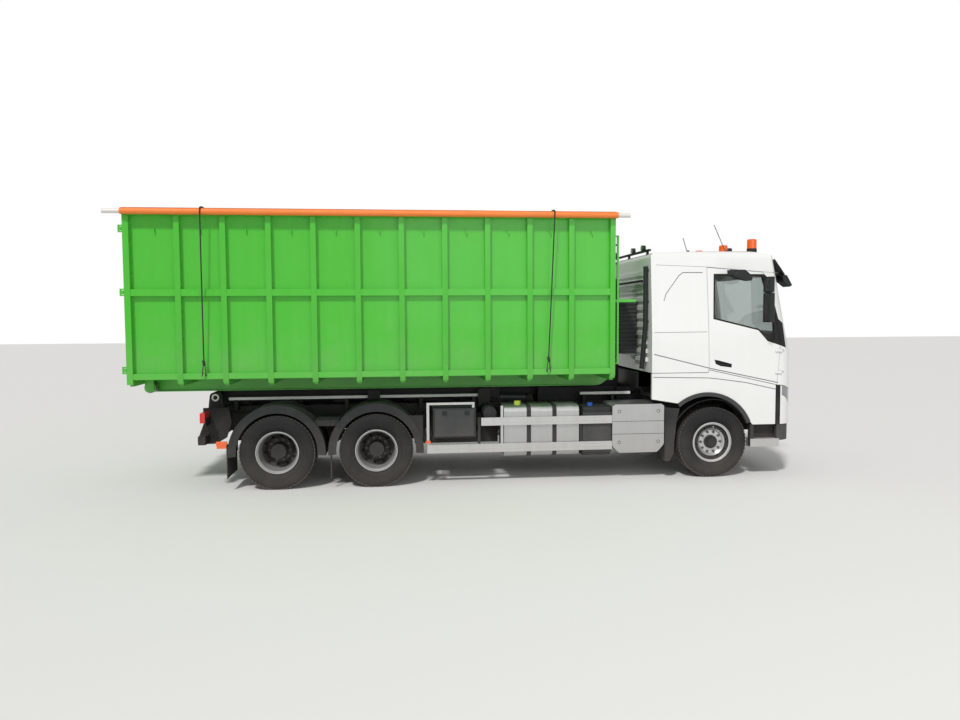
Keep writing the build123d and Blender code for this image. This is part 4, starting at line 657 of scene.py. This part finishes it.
DRIVE_X, TAG_X, HUB_Z = -1.350, -2.720, 0.520
SKIRT_INNER, SKIRT_OUTER, SKIRT_FROM, SKIRT_TO = 0.556, 0.640, 1.2405, 1.2445
FLAP_PANEL = [(2.876, 1.053), (3.074, 1.037), (3.031, 0.846), (2.996, 0.515), (2.992, 0.374),
              (2.933, 0.262), (2.876, 0.262)]
TAIL_PLATE = [(-3.783, 1.13), (-3.779, 0.911), (-3.870, 0.668), (-3.850, 0.612), (-3.615, 0.617),
              (-3.462, 0.703), (-3.392, 0.926), (-3.430, 1.13)]
GUARD_FLAT = [(-1.00, 1.010), (-0.692, 1.010), (-0.692, 0.474), (-0.76, 0.474), (-0.76, 0.85)]
CAB_ARCH = [(-0.425, 1.0), (-0.43, 1.18), (-0.72, 1.30), (-0.72, 1.54), (0.72, 1.54), (0.72, 1.30),
            (0.43, 1.18), (0.425, 1.0)]
panels, plates_and_shade_sheets, posts, bolts, ambers = (bmesh.new() for _ in range(5))
# pieces with an outline of their own on each side, from and to: out from the middle
OUTLINED = ((panels, FLAP_PANEL, 1.196, 1.204), (plates_and_shade_sheets, TAIL_PLATE, 0.888, 0.900),
            (panels, GUARD_FLAT, 1.215, 1.225))
# painted shade: the dark sheets at the back of the step well, inside the wheel arch, under the hook arm,
# beside the gearbox, ahead of the drive axle and behind the last axle close gaps where shade falls
# square-cut pieces on each side, from and to: along the truck, up, and out from the middle
SQUARE_CUT = (
    (panels, 4.150, 4.205, 0.460, 0.783, 1.165, 1.230),  # behind the boarding steps
    (plates_and_shade_sheets, 4.170, 4.660, 0.560, 0.790, 1.110, 1.120),  # back of the step well
    (plates_and_shade_sheets, 4.130, 4.560, 0.600, 0.900, 0.560, 0.572),  # inside the front wheel arch
    (panels, -1.990, -1.970, 0.143, 0.520, 1.190, 1.215),  # strip between the rear wheels
    (plates_and_shade_sheets, 1.12, 2.57, 1.085, 1.300, 0.310, 0.330),  # under the hook arm
    (plates_and_shade_sheets, 2.35, 3.30, 1.000, 1.290, 0.400, 0.420),  # beside the gearbox
    (plates_and_shade_sheets, -0.80, 0.46, 0.50, 0.95, 0.450, 0.560),  # ahead of the drive axle
    (plates_and_shade_sheets, -3.46, -2.95, 0.60, 1.00, 0.540, 0.552),  # behind the last axle
    (posts, 0.420, 0.458, 0.463, 1.124, 1.170, 1.206),  # upright beside the toolbox
    (ambers, -3.540, -3.390, 0.640, 0.698, 1.206, 1.232))  # marker at the tail
# a dark sheet of painted shade across the frame behind the cab
plate(plates_and_shade_sheets, CAB_ARCH, 2.57, 2.61, flat=FROM_FRONT)
for s in (-1, 1):
    for x in (DRIVE_X, TAG_X):
        arc = [(cos(radians(a)), sin(radians(a))) for a in range(-4, 185, 4)]
        skirt = [(x + SKIRT_OUTER * c, HUB_Z + SKIRT_OUTER * v) for c, v in arc]
        skirt += [(x + SKIRT_INNER * c, HUB_Z + SKIRT_INNER * v) for c, v in reversed(arc)]
        plate(panels, skirt, s * SKIRT_FROM, s * SKIRT_TO)
    for work, outline, inner, outer in OUTLINED:
        plate(work, outline, s * inner, s * outer)
    for work, x0, x1, z0, z1, inner, outer in SQUARE_CUT:
        plate(work, oblong(x0, x1, z0, z1), s * inner, s * outer)
BOLT_RADIUS, BOLT_HEIGHT, BOLT_Y = 0.017, 0.008, -1.220
for x in (2.160, 2.745):
    for z in (0.560, 1.010):
        head = Matrix.Translation((x, BOLT_Y, z)) @ Matrix.Rotation(pi / 2, 4, "X")
        bmesh.ops.create_cone(bolts, cap_ends=True, segments=6, radius1=BOLT_RADIUS, radius2=BOLT_RADIUS,
                              depth=BOLT_HEIGHT, matrix=head)
edged(place_on("frame_panels", panels, [black_moulding_and_shade], "chassis"), 0.0015, 35)
# the tail plates, and the dark sheets of painted shade, in chassis black
edged(place_on("frame_plates_and_shade_sheets", plates_and_shade_sheets, [chassis_paint], "chassis"), 0.002, 35)
edged(place_on("guard_posts", posts, [guard_alloy], "chassis"), 0.003, 35)
edged(place_on("tail_markers", ambers, [amber_lens], "chassis"), 0.004, 35)
place_on("cover_bolts", bolts, [guard_alloy], "chassis")

# Wheels
# Steel wheels with tubeless tyres: the front discs bulge out, the rear twins sit deep in
# their dish round a dark drive hub. Every tyre has a worn, dusty tread of blocks.
tyre_rubber = finish("tyre_rubber", (0.017, 0.017, 0.018), (0.026, 0.026, 0.026), 0.72, dust=0.12,
                     dust_top=0.8, scuffed=0.1, scuff_colour=(0.08, 0.075, 0.07), grains=(70, 70, 70),
                     grain_depth=0.001, shine=0.15)
worn_tread = finish("worn_tread", (0.035, 0.034, 0.033), (0.05, 0.048, 0.046), 0.85, dust=0.3, dust_top=1.2,
                    grains=(90, 90, 90), grain_depth=0.002, shine=0.15)
wheel_silver = finish("wheel_silver", (0.62, 0.63, 0.64), (0.52, 0.52, 0.52), 0.3, metallic=0.7, coat=0.2,
                      dust=0.25, dust_top=0.9)
# black for the hubs, and painted shade in the sunk dish of the front rims and on the sunk disc of the rear
# rims
hub_black_and_dish_shade = finish("hub_black_and_dish_shade", (0.012, 0.012, 0.013), (0.02, 0.02, 0.02), 0.5, dust=0.15, dust_top=0.9,
                   shine=0.3)
nut_steel = finish("nut_steel", (0.10, 0.10, 0.10), (0.07, 0.06, 0.055), 0.45, metallic=0.7, dust=0.3,
                   dust_top=0.9)
FRONT_X, FRONT_Y, REAR_Y = 3.590, 1.045, 0.905
TWIN_OFFSET = 0.175
GROOVE_RADIUS = 0.508
# half of the carcass section: radius and distance from the tyre's middle
CARCASS = [(0.290, 0.1155), (0.297, 0.1215), (0.312, 0.1205), (0.332, 0.139), (0.356, 0.1475),
           (0.359, 0.1505), (0.364, 0.1475), (0.400, 0.1555), (0.440, 0.1570), (0.470, 0.1535),
           (0.492, 0.1440), (0.501, 0.1380), (GROOVE_RADIUS, 0.1300), (GROOVE_RADIUS, 0.065)]
# the flange round the front hub: radius and distance out from the wheel's middle
HUB_FLANGE = [(0.060, 0.054), (0.098, 0.054), (0.098, 0.080), (0.092, 0.086), (0.060, 0.086)]


def turned(work, section, x, y, side, steps=96):
    """A closed ring turned about the axle from (radius, distance outboard) points."""
    rings = []
    for step in range(steps):
        angle = 2 * pi * step / steps
        rings.append([work.verts.new((x + r * cos(angle), y + side * w, HUB_Z + r * sin(angle)))
                      for r, w in section])
    skinned(work, rings + rings[:1])


def geometry_tree(name, inputs):
    """An empty Geometry Nodes tree with named inputs."""
    tree = bpy.data.node_groups.new(name, "GeometryNodeTree")
    tree.is_modifier = True
    for label, kind, value in inputs:
        socket = tree.interface.new_socket(label, in_out="INPUT", socket_type="NodeSocket" + kind)
        if value is not None:
            socket.default_value = value
    tree.interface.new_socket("Geometry", in_out="OUTPUT", socket_type="NodeSocketGeometry")
    return tree, tree.nodes.new("NodeGroupInput").outputs


def around_axle(tree, given, piece, row, step, count):
    """Places a piece on points round the wheel's axle, and finishes the tree."""
    angle = maths(tree, "MULTIPLY", step, maths(tree, "DIVIDE", 2 * pi, given["Count"]))
    angle = maths(tree, "ADD", angle, given["Turn"])
    ahead = maths(tree, "MULTIPLY", maths(tree, "COSINE", angle), given["Radius"])
    above = maths(tree, "MULTIPLY", maths(tree, "SINE", angle), given["Radius"])
    place = add(tree, "ShaderNodeCombineXYZ", {0: ahead, 1: row, 2: above})
    points = add(tree, "GeometryNodePoints", {"Count": count, "Position": place.outputs[0]})
    tilt = add(tree, "ShaderNodeCombineXYZ", {1: maths(tree, "MULTIPLY", angle, -1.0)})
    turn = add(tree, "FunctionNodeEulerToRotation", {0: tilt.outputs[0]})
    copies = add(tree, "GeometryNodeInstanceOnPoints", {
        "Points": points.outputs[0], "Instance": piece, "Rotation": turn.outputs[0]})
    real = add(tree, "GeometryNodeRealizeInstances", {0: copies.outputs[0]})
    moved = add(tree, "GeometryNodeTransform", {"Geometry": real.outputs[0], "Translation": given["Centre"]})
    painted = add(tree, "GeometryNodeSetMaterial", {
        "Geometry": moved.outputs[0], "Material": given["Finish"]})
    add(tree, "NodeGroupOutput", {0: painted.outputs[0]})


# tread blocks: rows of blocks over the tyre, every second row half a step round
tread, given = geometry_tree("tread_blocks", [
    ("Count", "Int", 58), ("Rows", "Int", 5), ("Pitch", "Float", 0.056), ("Radius", "Float", 0.5133),
    ("Turn", "Float", 0.0), ("Block", "Vector", (0.0126, 0.046, 0.042)), ("Centre", "Vector", (0, 0, 0)),
    ("Finish", "Material", None)])
index = add(tread, "GeometryNodeInputIndex").outputs[0]
row = maths(tread, "MODULO", index, given["Rows"])
step = maths(tread, "FLOOR", maths(tread, "DIVIDE", index, given["Rows"]))
step = maths(tread, "MULTIPLY_ADD", maths(tread, "MODULO", row, 2.0), 0.5, step)
middle = maths(tread, "MULTIPLY", maths(tread, "SUBTRACT", given["Rows"], 1.0), 0.5)
row = maths(tread, "MULTIPLY", maths(tread, "SUBTRACT", row, middle), given["Pitch"])
block = add(tread, "GeometryNodeMeshCube", {"Size": given["Block"]}).outputs[0]
around_axle(tread, given, block, row, step, maths(tread, "MULTIPLY", given["Count"], given["Rows"]))

# wheel nuts: hexagons on their studs in a ring on the wheel's disc
nuts, given = geometry_tree("wheel_nuts", [
    ("Count", "Int", 10), ("Radius", "Float", 0.150), ("Turn", "Float", 0.0), ("Across", "Float", 0.018),
    ("Height", "Float", 0.022), ("Stud", "Float", 0.034), ("Centre", "Vector", (0, 0, 0)),
    ("Finish", "Material", None)])
index = add(nuts, "GeometryNodeInputIndex").outputs[0]
hexagon = add(nuts, "GeometryNodeMeshCylinder", {
    "Vertices": 6, "Radius": given["Across"], "Depth": given["Height"]})
stud_radius = maths(nuts, "MULTIPLY", given["Across"], 0.55)
stud = add(nuts, "GeometryNodeMeshCylinder", {"Vertices": 10, "Radius": stud_radius, "Depth": given["Stud"]})
both_parts = add(nuts, "GeometryNodeJoinGeometry")
nuts.links.new(hexagon.outputs[0], both_parts.inputs[0])
nuts.links.new(stud.outputs[0], both_parts.inputs[0])
upright = add(nuts, "GeometryNodeTransform", {
    "Geometry": both_parts.outputs[0], "Rotation": (pi / 2, 0, 0)}).outputs[0]
around_axle(nuts, given, upright, 0.0, index, given["Count"])


def grown(tree, settings):
    """The mesh that a tree makes with its named inputs set."""
    holder = bpy.data.objects.new("holder", bpy.data.meshes.new("holder"))
    scene.collection.objects.link(holder)
    grow = holder.modifiers.new("grow", "NODES")
    grow.node_group = tree
    for item in tree.interface.items_tree:
        if item.item_type == "SOCKET" and item.in_out == "INPUT" and item.name in settings:
            grow[item.identifier] = settings[item.name]
    made = bpy.data.meshes.new_from_object(holder.evaluated_get(bpy.context.evaluated_depsgraph_get()))
    holder.modifiers.remove(grow)
    bpy.data.objects.remove(holder)
    return made


def from_trees(name, tree, runs, material, body):
    """One finished piece from several runs of a tree."""
    work = bmesh.new()
    for settings in runs:
        work.from_mesh(grown(tree, dict(settings, Finish=material)))
    for face in work.faces:
        face.material_index = 0
    place_on(name, work, [material], body, sharp=30)


def rim_pick_at(x, y, front):
    """Paint by the distance from the axle: dark hub, silver disc, painted shade in the sunk dish and
    bright edge on the front wheel; dark hub and painted shade on the sunk disc in a silver dish on the rear."""
    def pick(centre, normal):
        radius = hypot(centre.x - x, centre.z - HUB_Z)
        if front:
            return 1 if radius < 0.0665 or 0.207 < radius < 0.2655 else 0
        return 1 if radius < 0.246 and abs(centre.y) > abs(y) - 0.02 else 0
    return pick


for axle, x, centre_y in (("front", FRONT_X, FRONT_Y), ("drive", DRIVE_X, REAR_Y), ("tag", TAG_X, REAR_Y)):
    front = axle == "front"
    offsets = (0.0,) if front else (-TWIN_OFFSET, TWIN_OFFSET)
    nuts_out, nuts_radius = (0.066, 0.150) if front else (0.036, 0.146)
    for side, s in (("right", -1), ("left", 1)):
        body = f"wheel_{axle}_{side}"
        dressed(f"rim_{axle}_{side}", [wheel_silver, hub_black_and_dish_shade], bevel=0.002, sharp=14,
                pick=rim_pick_at(x, s * centre_y, front))
        work = bmesh.new()
        for offset in offsets:
            turned(work, CARCASS + [(r, -w) for r, w in reversed(CARCASS)], x, s * (centre_y + offset), s)
        carcass = place_on(f"tyre_{axle}_{side}_made", work, [tyre_rubber], body, sharp=40)
        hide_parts(f"tyre_{axle}_{side}")
        from_trees(f"tread_{axle}_{side}", tread, [
            {"Centre": (x, s * (centre_y + offset), HUB_Z), "Turn": 0.4 * k}
            for k, offset in enumerate(offsets)], worn_tread, body)
        from_trees(f"nuts_{axle}_{side}", nuts, [
            {"Centre": (x, s * (centre_y + nuts_out), HUB_Z), "Radius": nuts_radius}], nut_steel, body)
        if front:
            work = bmesh.new()
            turned(work, HUB_FLANGE, x, s * centre_y, s, 48)
            place_on(f"hub_flange_{side}", work, [hub_black_and_dish_shade], body)

# Cab shell
# Pressed steel panels sprayed white: rear wall, sides, roof, front and doors, with the bumper and
# the panels round the wheel arches in painted moulding; the floor, the panels' insides and the
# bumper's back are black as painted shade.
cab_white = finish("cab_white", (0.80, 0.805, 0.80), (0.76, 0.765, 0.755), 0.3, coat=0.5, dust=0.16,
                   dust_top=1.5, scuffed=0.08, scuff_colour=(0.55, 0.54, 0.52), grain_depth=0.0002,
                   waves=0.004)
# black for the window trim, windscreen band, handle and wipers, and painted shade on the cab floor, the
# fender insides and the bumper's back, where shade falls in gaps
black_trim_and_gap_shade = finish("black_trim_and_gap_shade", (0.012, 0.012, 0.013), (0.02, 0.02, 0.02), 0.6, dust=0.12,
                   grains=(300, 300, 300), shine=0.25)
# black trim round the door window, down to the foot of the windscreen pillar, seen from the side
WINDOW_BLACK = [(3.571, 3.008), (3.560, 2.346), (4.247, 2.178), (4.392, 2.018), (4.702, 1.916),
                (4.655, 2.279), (4.560, 2.343), (4.392, 2.962), (4.345, 3.004)]
# black band round the windscreen, seen from the front
SCREEN_BLACK = [(-1.135, 1.945), (-1.066, 3.018), (1.066, 3.018), (1.135, 1.945)]
# the sunk door handle's plate, seen from the side
HANDLE_PLATE = [(3.581, 1.751), (3.647, 1.740), (3.848, 1.686), (3.848, 1.632), (3.674, 1.656),
                (3.600, 1.690)]
# the bumper's back, seen from the side, black as painted shade in the gap behind its corner
BUMPER_FRONT = 4.607
BUMPER_BAND = [(4.50, 0.70), (BUMPER_FRONT, 0.70), (BUMPER_FRONT, 1.45), (4.50, 1.45)]


def side_y(z):
    """The cab's outer side: upright to the window sill, and leaning in above it."""
    return 1.240 - 0.0566 * max(0.0, z - 2.149)


def cab_pick(centre, normal):
    """Black window trim, windscreen band and handle, and grey painted shade in the grooves of the pressed
    lines and shut lines, on white panels.
    """
    reach = abs(centre.y)
    depth = side_y(centre.z) - reach
    if reach > 1.10 and within(WINDOW_BLACK, centre.x, centre.z):
        return 1
    if normal.x > 0.25 and centre.x > 4.4 and within(SCREEN_BLACK, centre.y, centre.z):
        return 1
    if reach > 1.2 and within(HANDLE_PLATE, centre.x, centre.z):
        return 1
    # painted shade: the bottoms of the pressed lines and shut lines are grey
    return 2 if 0.0025 < depth < 0.006 and abs(normal.y) > 0.95 and centre.x < 4.58 and centre.z < 3.05 else 0


def fender_pick(centre, normal):
    """The panels' insides and their brackets are black, as painted shade under the cab."""
    return cab_pick(centre, normal) if abs(centre.y) > 1.2 else 1


def cab_panel(node, pick=cab_pick, marks=()):
    """A pressed cab panel with its soft edges."""
    dressed(node, [cab_white, black_trim_and_gap_shade, seam_grey_and_groove_shade], bevel=0.004, sharp=28, pick=pick, marks=marks)


# the cab floor is black as painted shade under the cab
dressed("cab_floor", [black_trim_and_gap_shade])
cab_panel("front_fenders", pick=fender_pick)
for node in ("cab_rear_wall", "cab_sides", "cab_roof"):
    cab_panel(node)
cab_panel("cab_front", marks=[(WINDOW_BLACK, FROM_SIDE), (SCREEN_BLACK, FROM_FRONT)])
for side in ("right", "left"):
    cab_panel("door_" + side, marks=[(WINDOW_BLACK, FROM_SIDE), (HANDLE_PLATE, FROM_SIDE)])
# behind its front face the bumper is black, as painted shade
dressed("bumper", [cab_white, black_trim_and_gap_shade], bevel=0.004, sharp=28, marks=[(BUMPER_BAND, FROM_SIDE)],
        pick=lambda centre, normal: 1 if centre.x < BUMPER_FRONT else 0)

# Roof seam
# The joint between the pressed roof and the sides, filled with a thin bead of grey sealant
# from the rear wall to the top of the windscreen pillar.
ROOF_SEAM = [(2.700, 3.136), (3.464, 3.108), (4.319, 3.038), (4.560, 3.023)]
# the bead's section: out from the side's face, and up
BEAD = ((-0.008, -0.0025), (0.0006, -0.0025), (0.0006, 0.0025), (-0.008, 0.0025))
work = bmesh.new()
for s in (-1, 1):
    loops = []
    for x, z in ROOF_SEAM:
        loops.append([work.verts.new((x, s * (side_y(z) + out), z + up)) for out, up in BEAD])
    skinned(work, loops)
    for loop in (loops[0], loops[-1]):
        work.faces.new(loop)
place_on("roof_seam", work, [seam_grey_and_groove_shade], "cab")

# Air intake
# A dark moulded box on the cab's rear wall, which draws the engine's air from behind the cab
# through louvres all the way up.
LOUVRES, LOUVRE_PITCH, LOUVRE_HEIGHT = 13, 0.060, 0.034
work = bmesh.new()
plate(work, oblong(2.345, 2.613, 1.820, 2.630), -0.595, -0.150)
for step in range(LOUVRES):
    z = 1.850 + LOUVRE_PITCH * step
    plate(work, oblong(2.333, 2.612, z, z + LOUVRE_HEIGHT), -0.607, -0.138)
edged(place_on("intake", work, [grey_moulding], "cab"), 0.004, 35)

# Glass
# Laminated windscreen and toughened door windows, lightly tinted and smeared with a little
# road dust, bonded in the cab's front and sunk in the doors.
cab_glass = bpy.data.materials.new("cab_glass")
cab_glass.use_nodes = True
glass_tree = cab_glass.node_tree
glass_shader = glass_tree.nodes["Principled BSDF"]
glass_shader.inputs["Transmission Weight"].default_value = 1.0
glass_shader.inputs["IOR"].default_value = 1.45
smears = add(glass_tree, "ShaderNodeGroup", node_tree=road_dust)
smears.inputs["Top"].default_value = 2.6
smears.inputs["Amount"].default_value = 0.12
smeared = mix(glass_tree, smears.outputs["Dust"], (0.80, 0.86, 0.84, 1), (0.55, 0.55, 0.52, 1))
glass_tree.links.new(smeared, glass_shader.inputs["Base Color"])
dulled = maths(glass_tree, "MULTIPLY_ADD", smears.outputs["Dust"], 0.4, 0.02)
glass_tree.links.new(dulled, glass_shader.inputs["Roughness"])
for node in ("windscreen", "door_right_glass", "door_left_glass"):
    dressed(node, [cab_glass], bevel=0)

# Cab trim, mirrors, roof fittings and inside
# Black moulded visor, mirrors and lamp bar screwed to the shell, amber beacons on the roof,
# and a grey moulded dashboard with its steering wheel.
mirror_silver = finish("mirror_silver", (0.75, 0.76, 0.78), (0.72, 0.73, 0.75), 0.06, metallic=1.0, dust=0.1,
                       scuffed=0.0, grain_depth=0.0)


def fitting_pick(centre, normal):
    """The mirrors' glass and the work lamps' lenses look back."""
    if normal.x < -0.95 and 4.299 < centre.x < 4.304:
        return 1
    return 2 if normal.x < -0.95 and 2.640 < centre.x < 2.644 and centre.z > 3.36 else 0


for node in ("cab_trim", "roof_fittings", "mirrors_right", "mirrors_left"):
    dressed(node, [black_moulding_and_shade, mirror_silver, clear_lens], bevel=0.003, pick=fitting_pick)
dressed("cab_interior", [grey_moulding])
dressed("beacons", [amber_lens], bevel=0.004)

# Wipers
# Two black steel wipers parked along the foot of the windscreen: an arm from each spindle in
# the front panel, and a blade clipped to its tip.
SCREEN_FOOT, SCREEN_FOOT_Z, SCREEN_LEAN, SCREEN_ROUND = 4.900, 1.790, 0.2, 7.137
ARM_WIDTH, BLADE_WIDTH = 0.011, 0.006


def screen_x(y, z):
    """The windscreen's outer face at a place across and up the truck's front."""
    return SCREEN_FOOT - SCREEN_LEAN * (z - SCREEN_FOOT_Z) - y * y / (2 * SCREEN_ROUND)


work = bmesh.new()
for root, tip, far_y in (((-0.05, 1.925), (-0.52, 2.055), -0.98), ((0.78, 1.925), (0.31, 2.055), -0.12)):
    blade = ((tip[0] + 0.44, 2.035), (far_y, 2.075), BLADE_WIDTH)
    for start, end, width in ((root, tip, ARM_WIDTH), blade):
        near, far = (Vector((screen_x(y, z) + 0.006, y, z)) for y, z in (start, end))
        turn = (far - near).to_track_quat("Z", "X").to_matrix().to_4x4()
        size = Matrix.Diagonal((width, width * 1.6, (far - near).length, 1))
        bmesh.ops.create_cube(work, size=1.0, matrix=Matrix.Translation((near + far) / 2) @ turn @ size)
    spindle = Matrix.Translation((screen_x(*root) - 0.002, *root)) @ Matrix.Rotation(pi / 2, 4, "Y")
    bmesh.ops.create_cone(work, cap_ends=True, segments=20, radius1=0.018, radius2=0.014, depth=0.03,
                          matrix=spindle)
place_on("wipers", work, [black_trim_and_gap_shade], "cab")

# Seats
# Foam cushions and backs in a dark cloth, blown up under their covers, with sewn channels
# along both sides and across the middle.
seat_cloth = finish("seat_cloth", (0.035, 0.038, 0.045), (0.05, 0.053, 0.06), 0.9, dust=0.0, scuffed=0.0,
                    grains=(700, 700, 700), grain_depth=0.0012)
SEAT_Y = -0.620
FOAM_SHARE, SWELL = 0.94, 0.024
# a channel's distance from the seat's middle, its place along the cushion and up the back
CHANNEL_Y, CUSHION_CHANNEL_X, BACK_CHANNEL_Z, BACK_FOOT = 0.15, 3.80, 2.40, 2.1
CHANNEL_DEPTH, CHANNEL_WIDTH = 0.007, 0.006
work = bmesh.new()
work.from_mesh(frame["nodes"]["seats"].data)
bmesh.ops.remove_doubles(work, verts=work.verts, dist=WELD)
bmesh.ops.delete(work, geom=[vert for vert in work.verts if vert.co.y > 0], context="VERTS")
left_over = set(work.verts)
while left_over:
    island = {left_over.pop()}
    edge_of = set(island)
    while edge_of:
        edge_of = {e.other_vert(v) for v in edge_of for e in v.link_edges} - island
        island |= edge_of
    left_over -= island
    centre = sum((vert.co for vert in island), Vector()) / len(island)
    for vert in island:
        vert.co = centre + (vert.co - centre) * FOAM_SHARE
seat_mesh = bpy.data.meshes.new("seat")
work.to_mesh(seat_mesh)
work.free()
pad = bpy.data.objects.new("pad", seat_mesh)
scene.collection.objects.link(pad)
remesh = pad.modifiers.new("remesh", "REMESH")
remesh.mode = "VOXEL"
remesh.voxel_size = 0.0105
close = bpy.data.meshes.new_from_object(pad.evaluated_get(bpy.context.evaluated_depsgraph_get()))
pad.modifiers.clear()
pad.data = close
rest = [vert.co.copy() for vert in close.vertices]
blown = pad.modifiers.new("blown", "CLOTH")
blown.settings.use_pressure = True
blown.settings.uniform_pressure_force = 4
blown.settings.effector_weights.gravity = 0
for number in range(1, 15):
    scene.frame_set(number)
seat_mesh = bpy.data.meshes.new_from_object(pad.evaluated_get(bpy.context.evaluated_depsgraph_get()))
scene.frame_set(1)
bpy.data.objects.remove(pad)
for vert, start in zip(seat_mesh.vertices, rest):
    move = vert.co - start
    if move.length > SWELL:
        move *= SWELL / move.length
    vert.co = start + move
for vert in seat_mesh.vertices:
    back = vert.co.z > BACK_FOOT
    cross = abs(vert.co.z - BACK_CHANNEL_Z) if back else abs(vert.co.x - CUSHION_CHANNEL_X)
    away = min(abs(abs(vert.co.y - SEAT_Y) - CHANNEL_Y), cross)
    vert.co -= vert.normal * CHANNEL_DEPTH * 2 ** (-(away / CHANNEL_WIDTH) ** 2)
work = bmesh.new()
work.from_mesh(seat_mesh)
other = bmesh.new()
other.from_mesh(seat_mesh)
bmesh.ops.scale(other, vec=(1, -1, 1), verts=other.verts)
mirrored = bpy.data.meshes.new("mirrored")
other.to_mesh(mirrored)
other.free()
work.from_mesh(mirrored)
seats = place_on("seat_cushions", work, [seat_cloth], "cab", sharp=70)
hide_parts("seats")
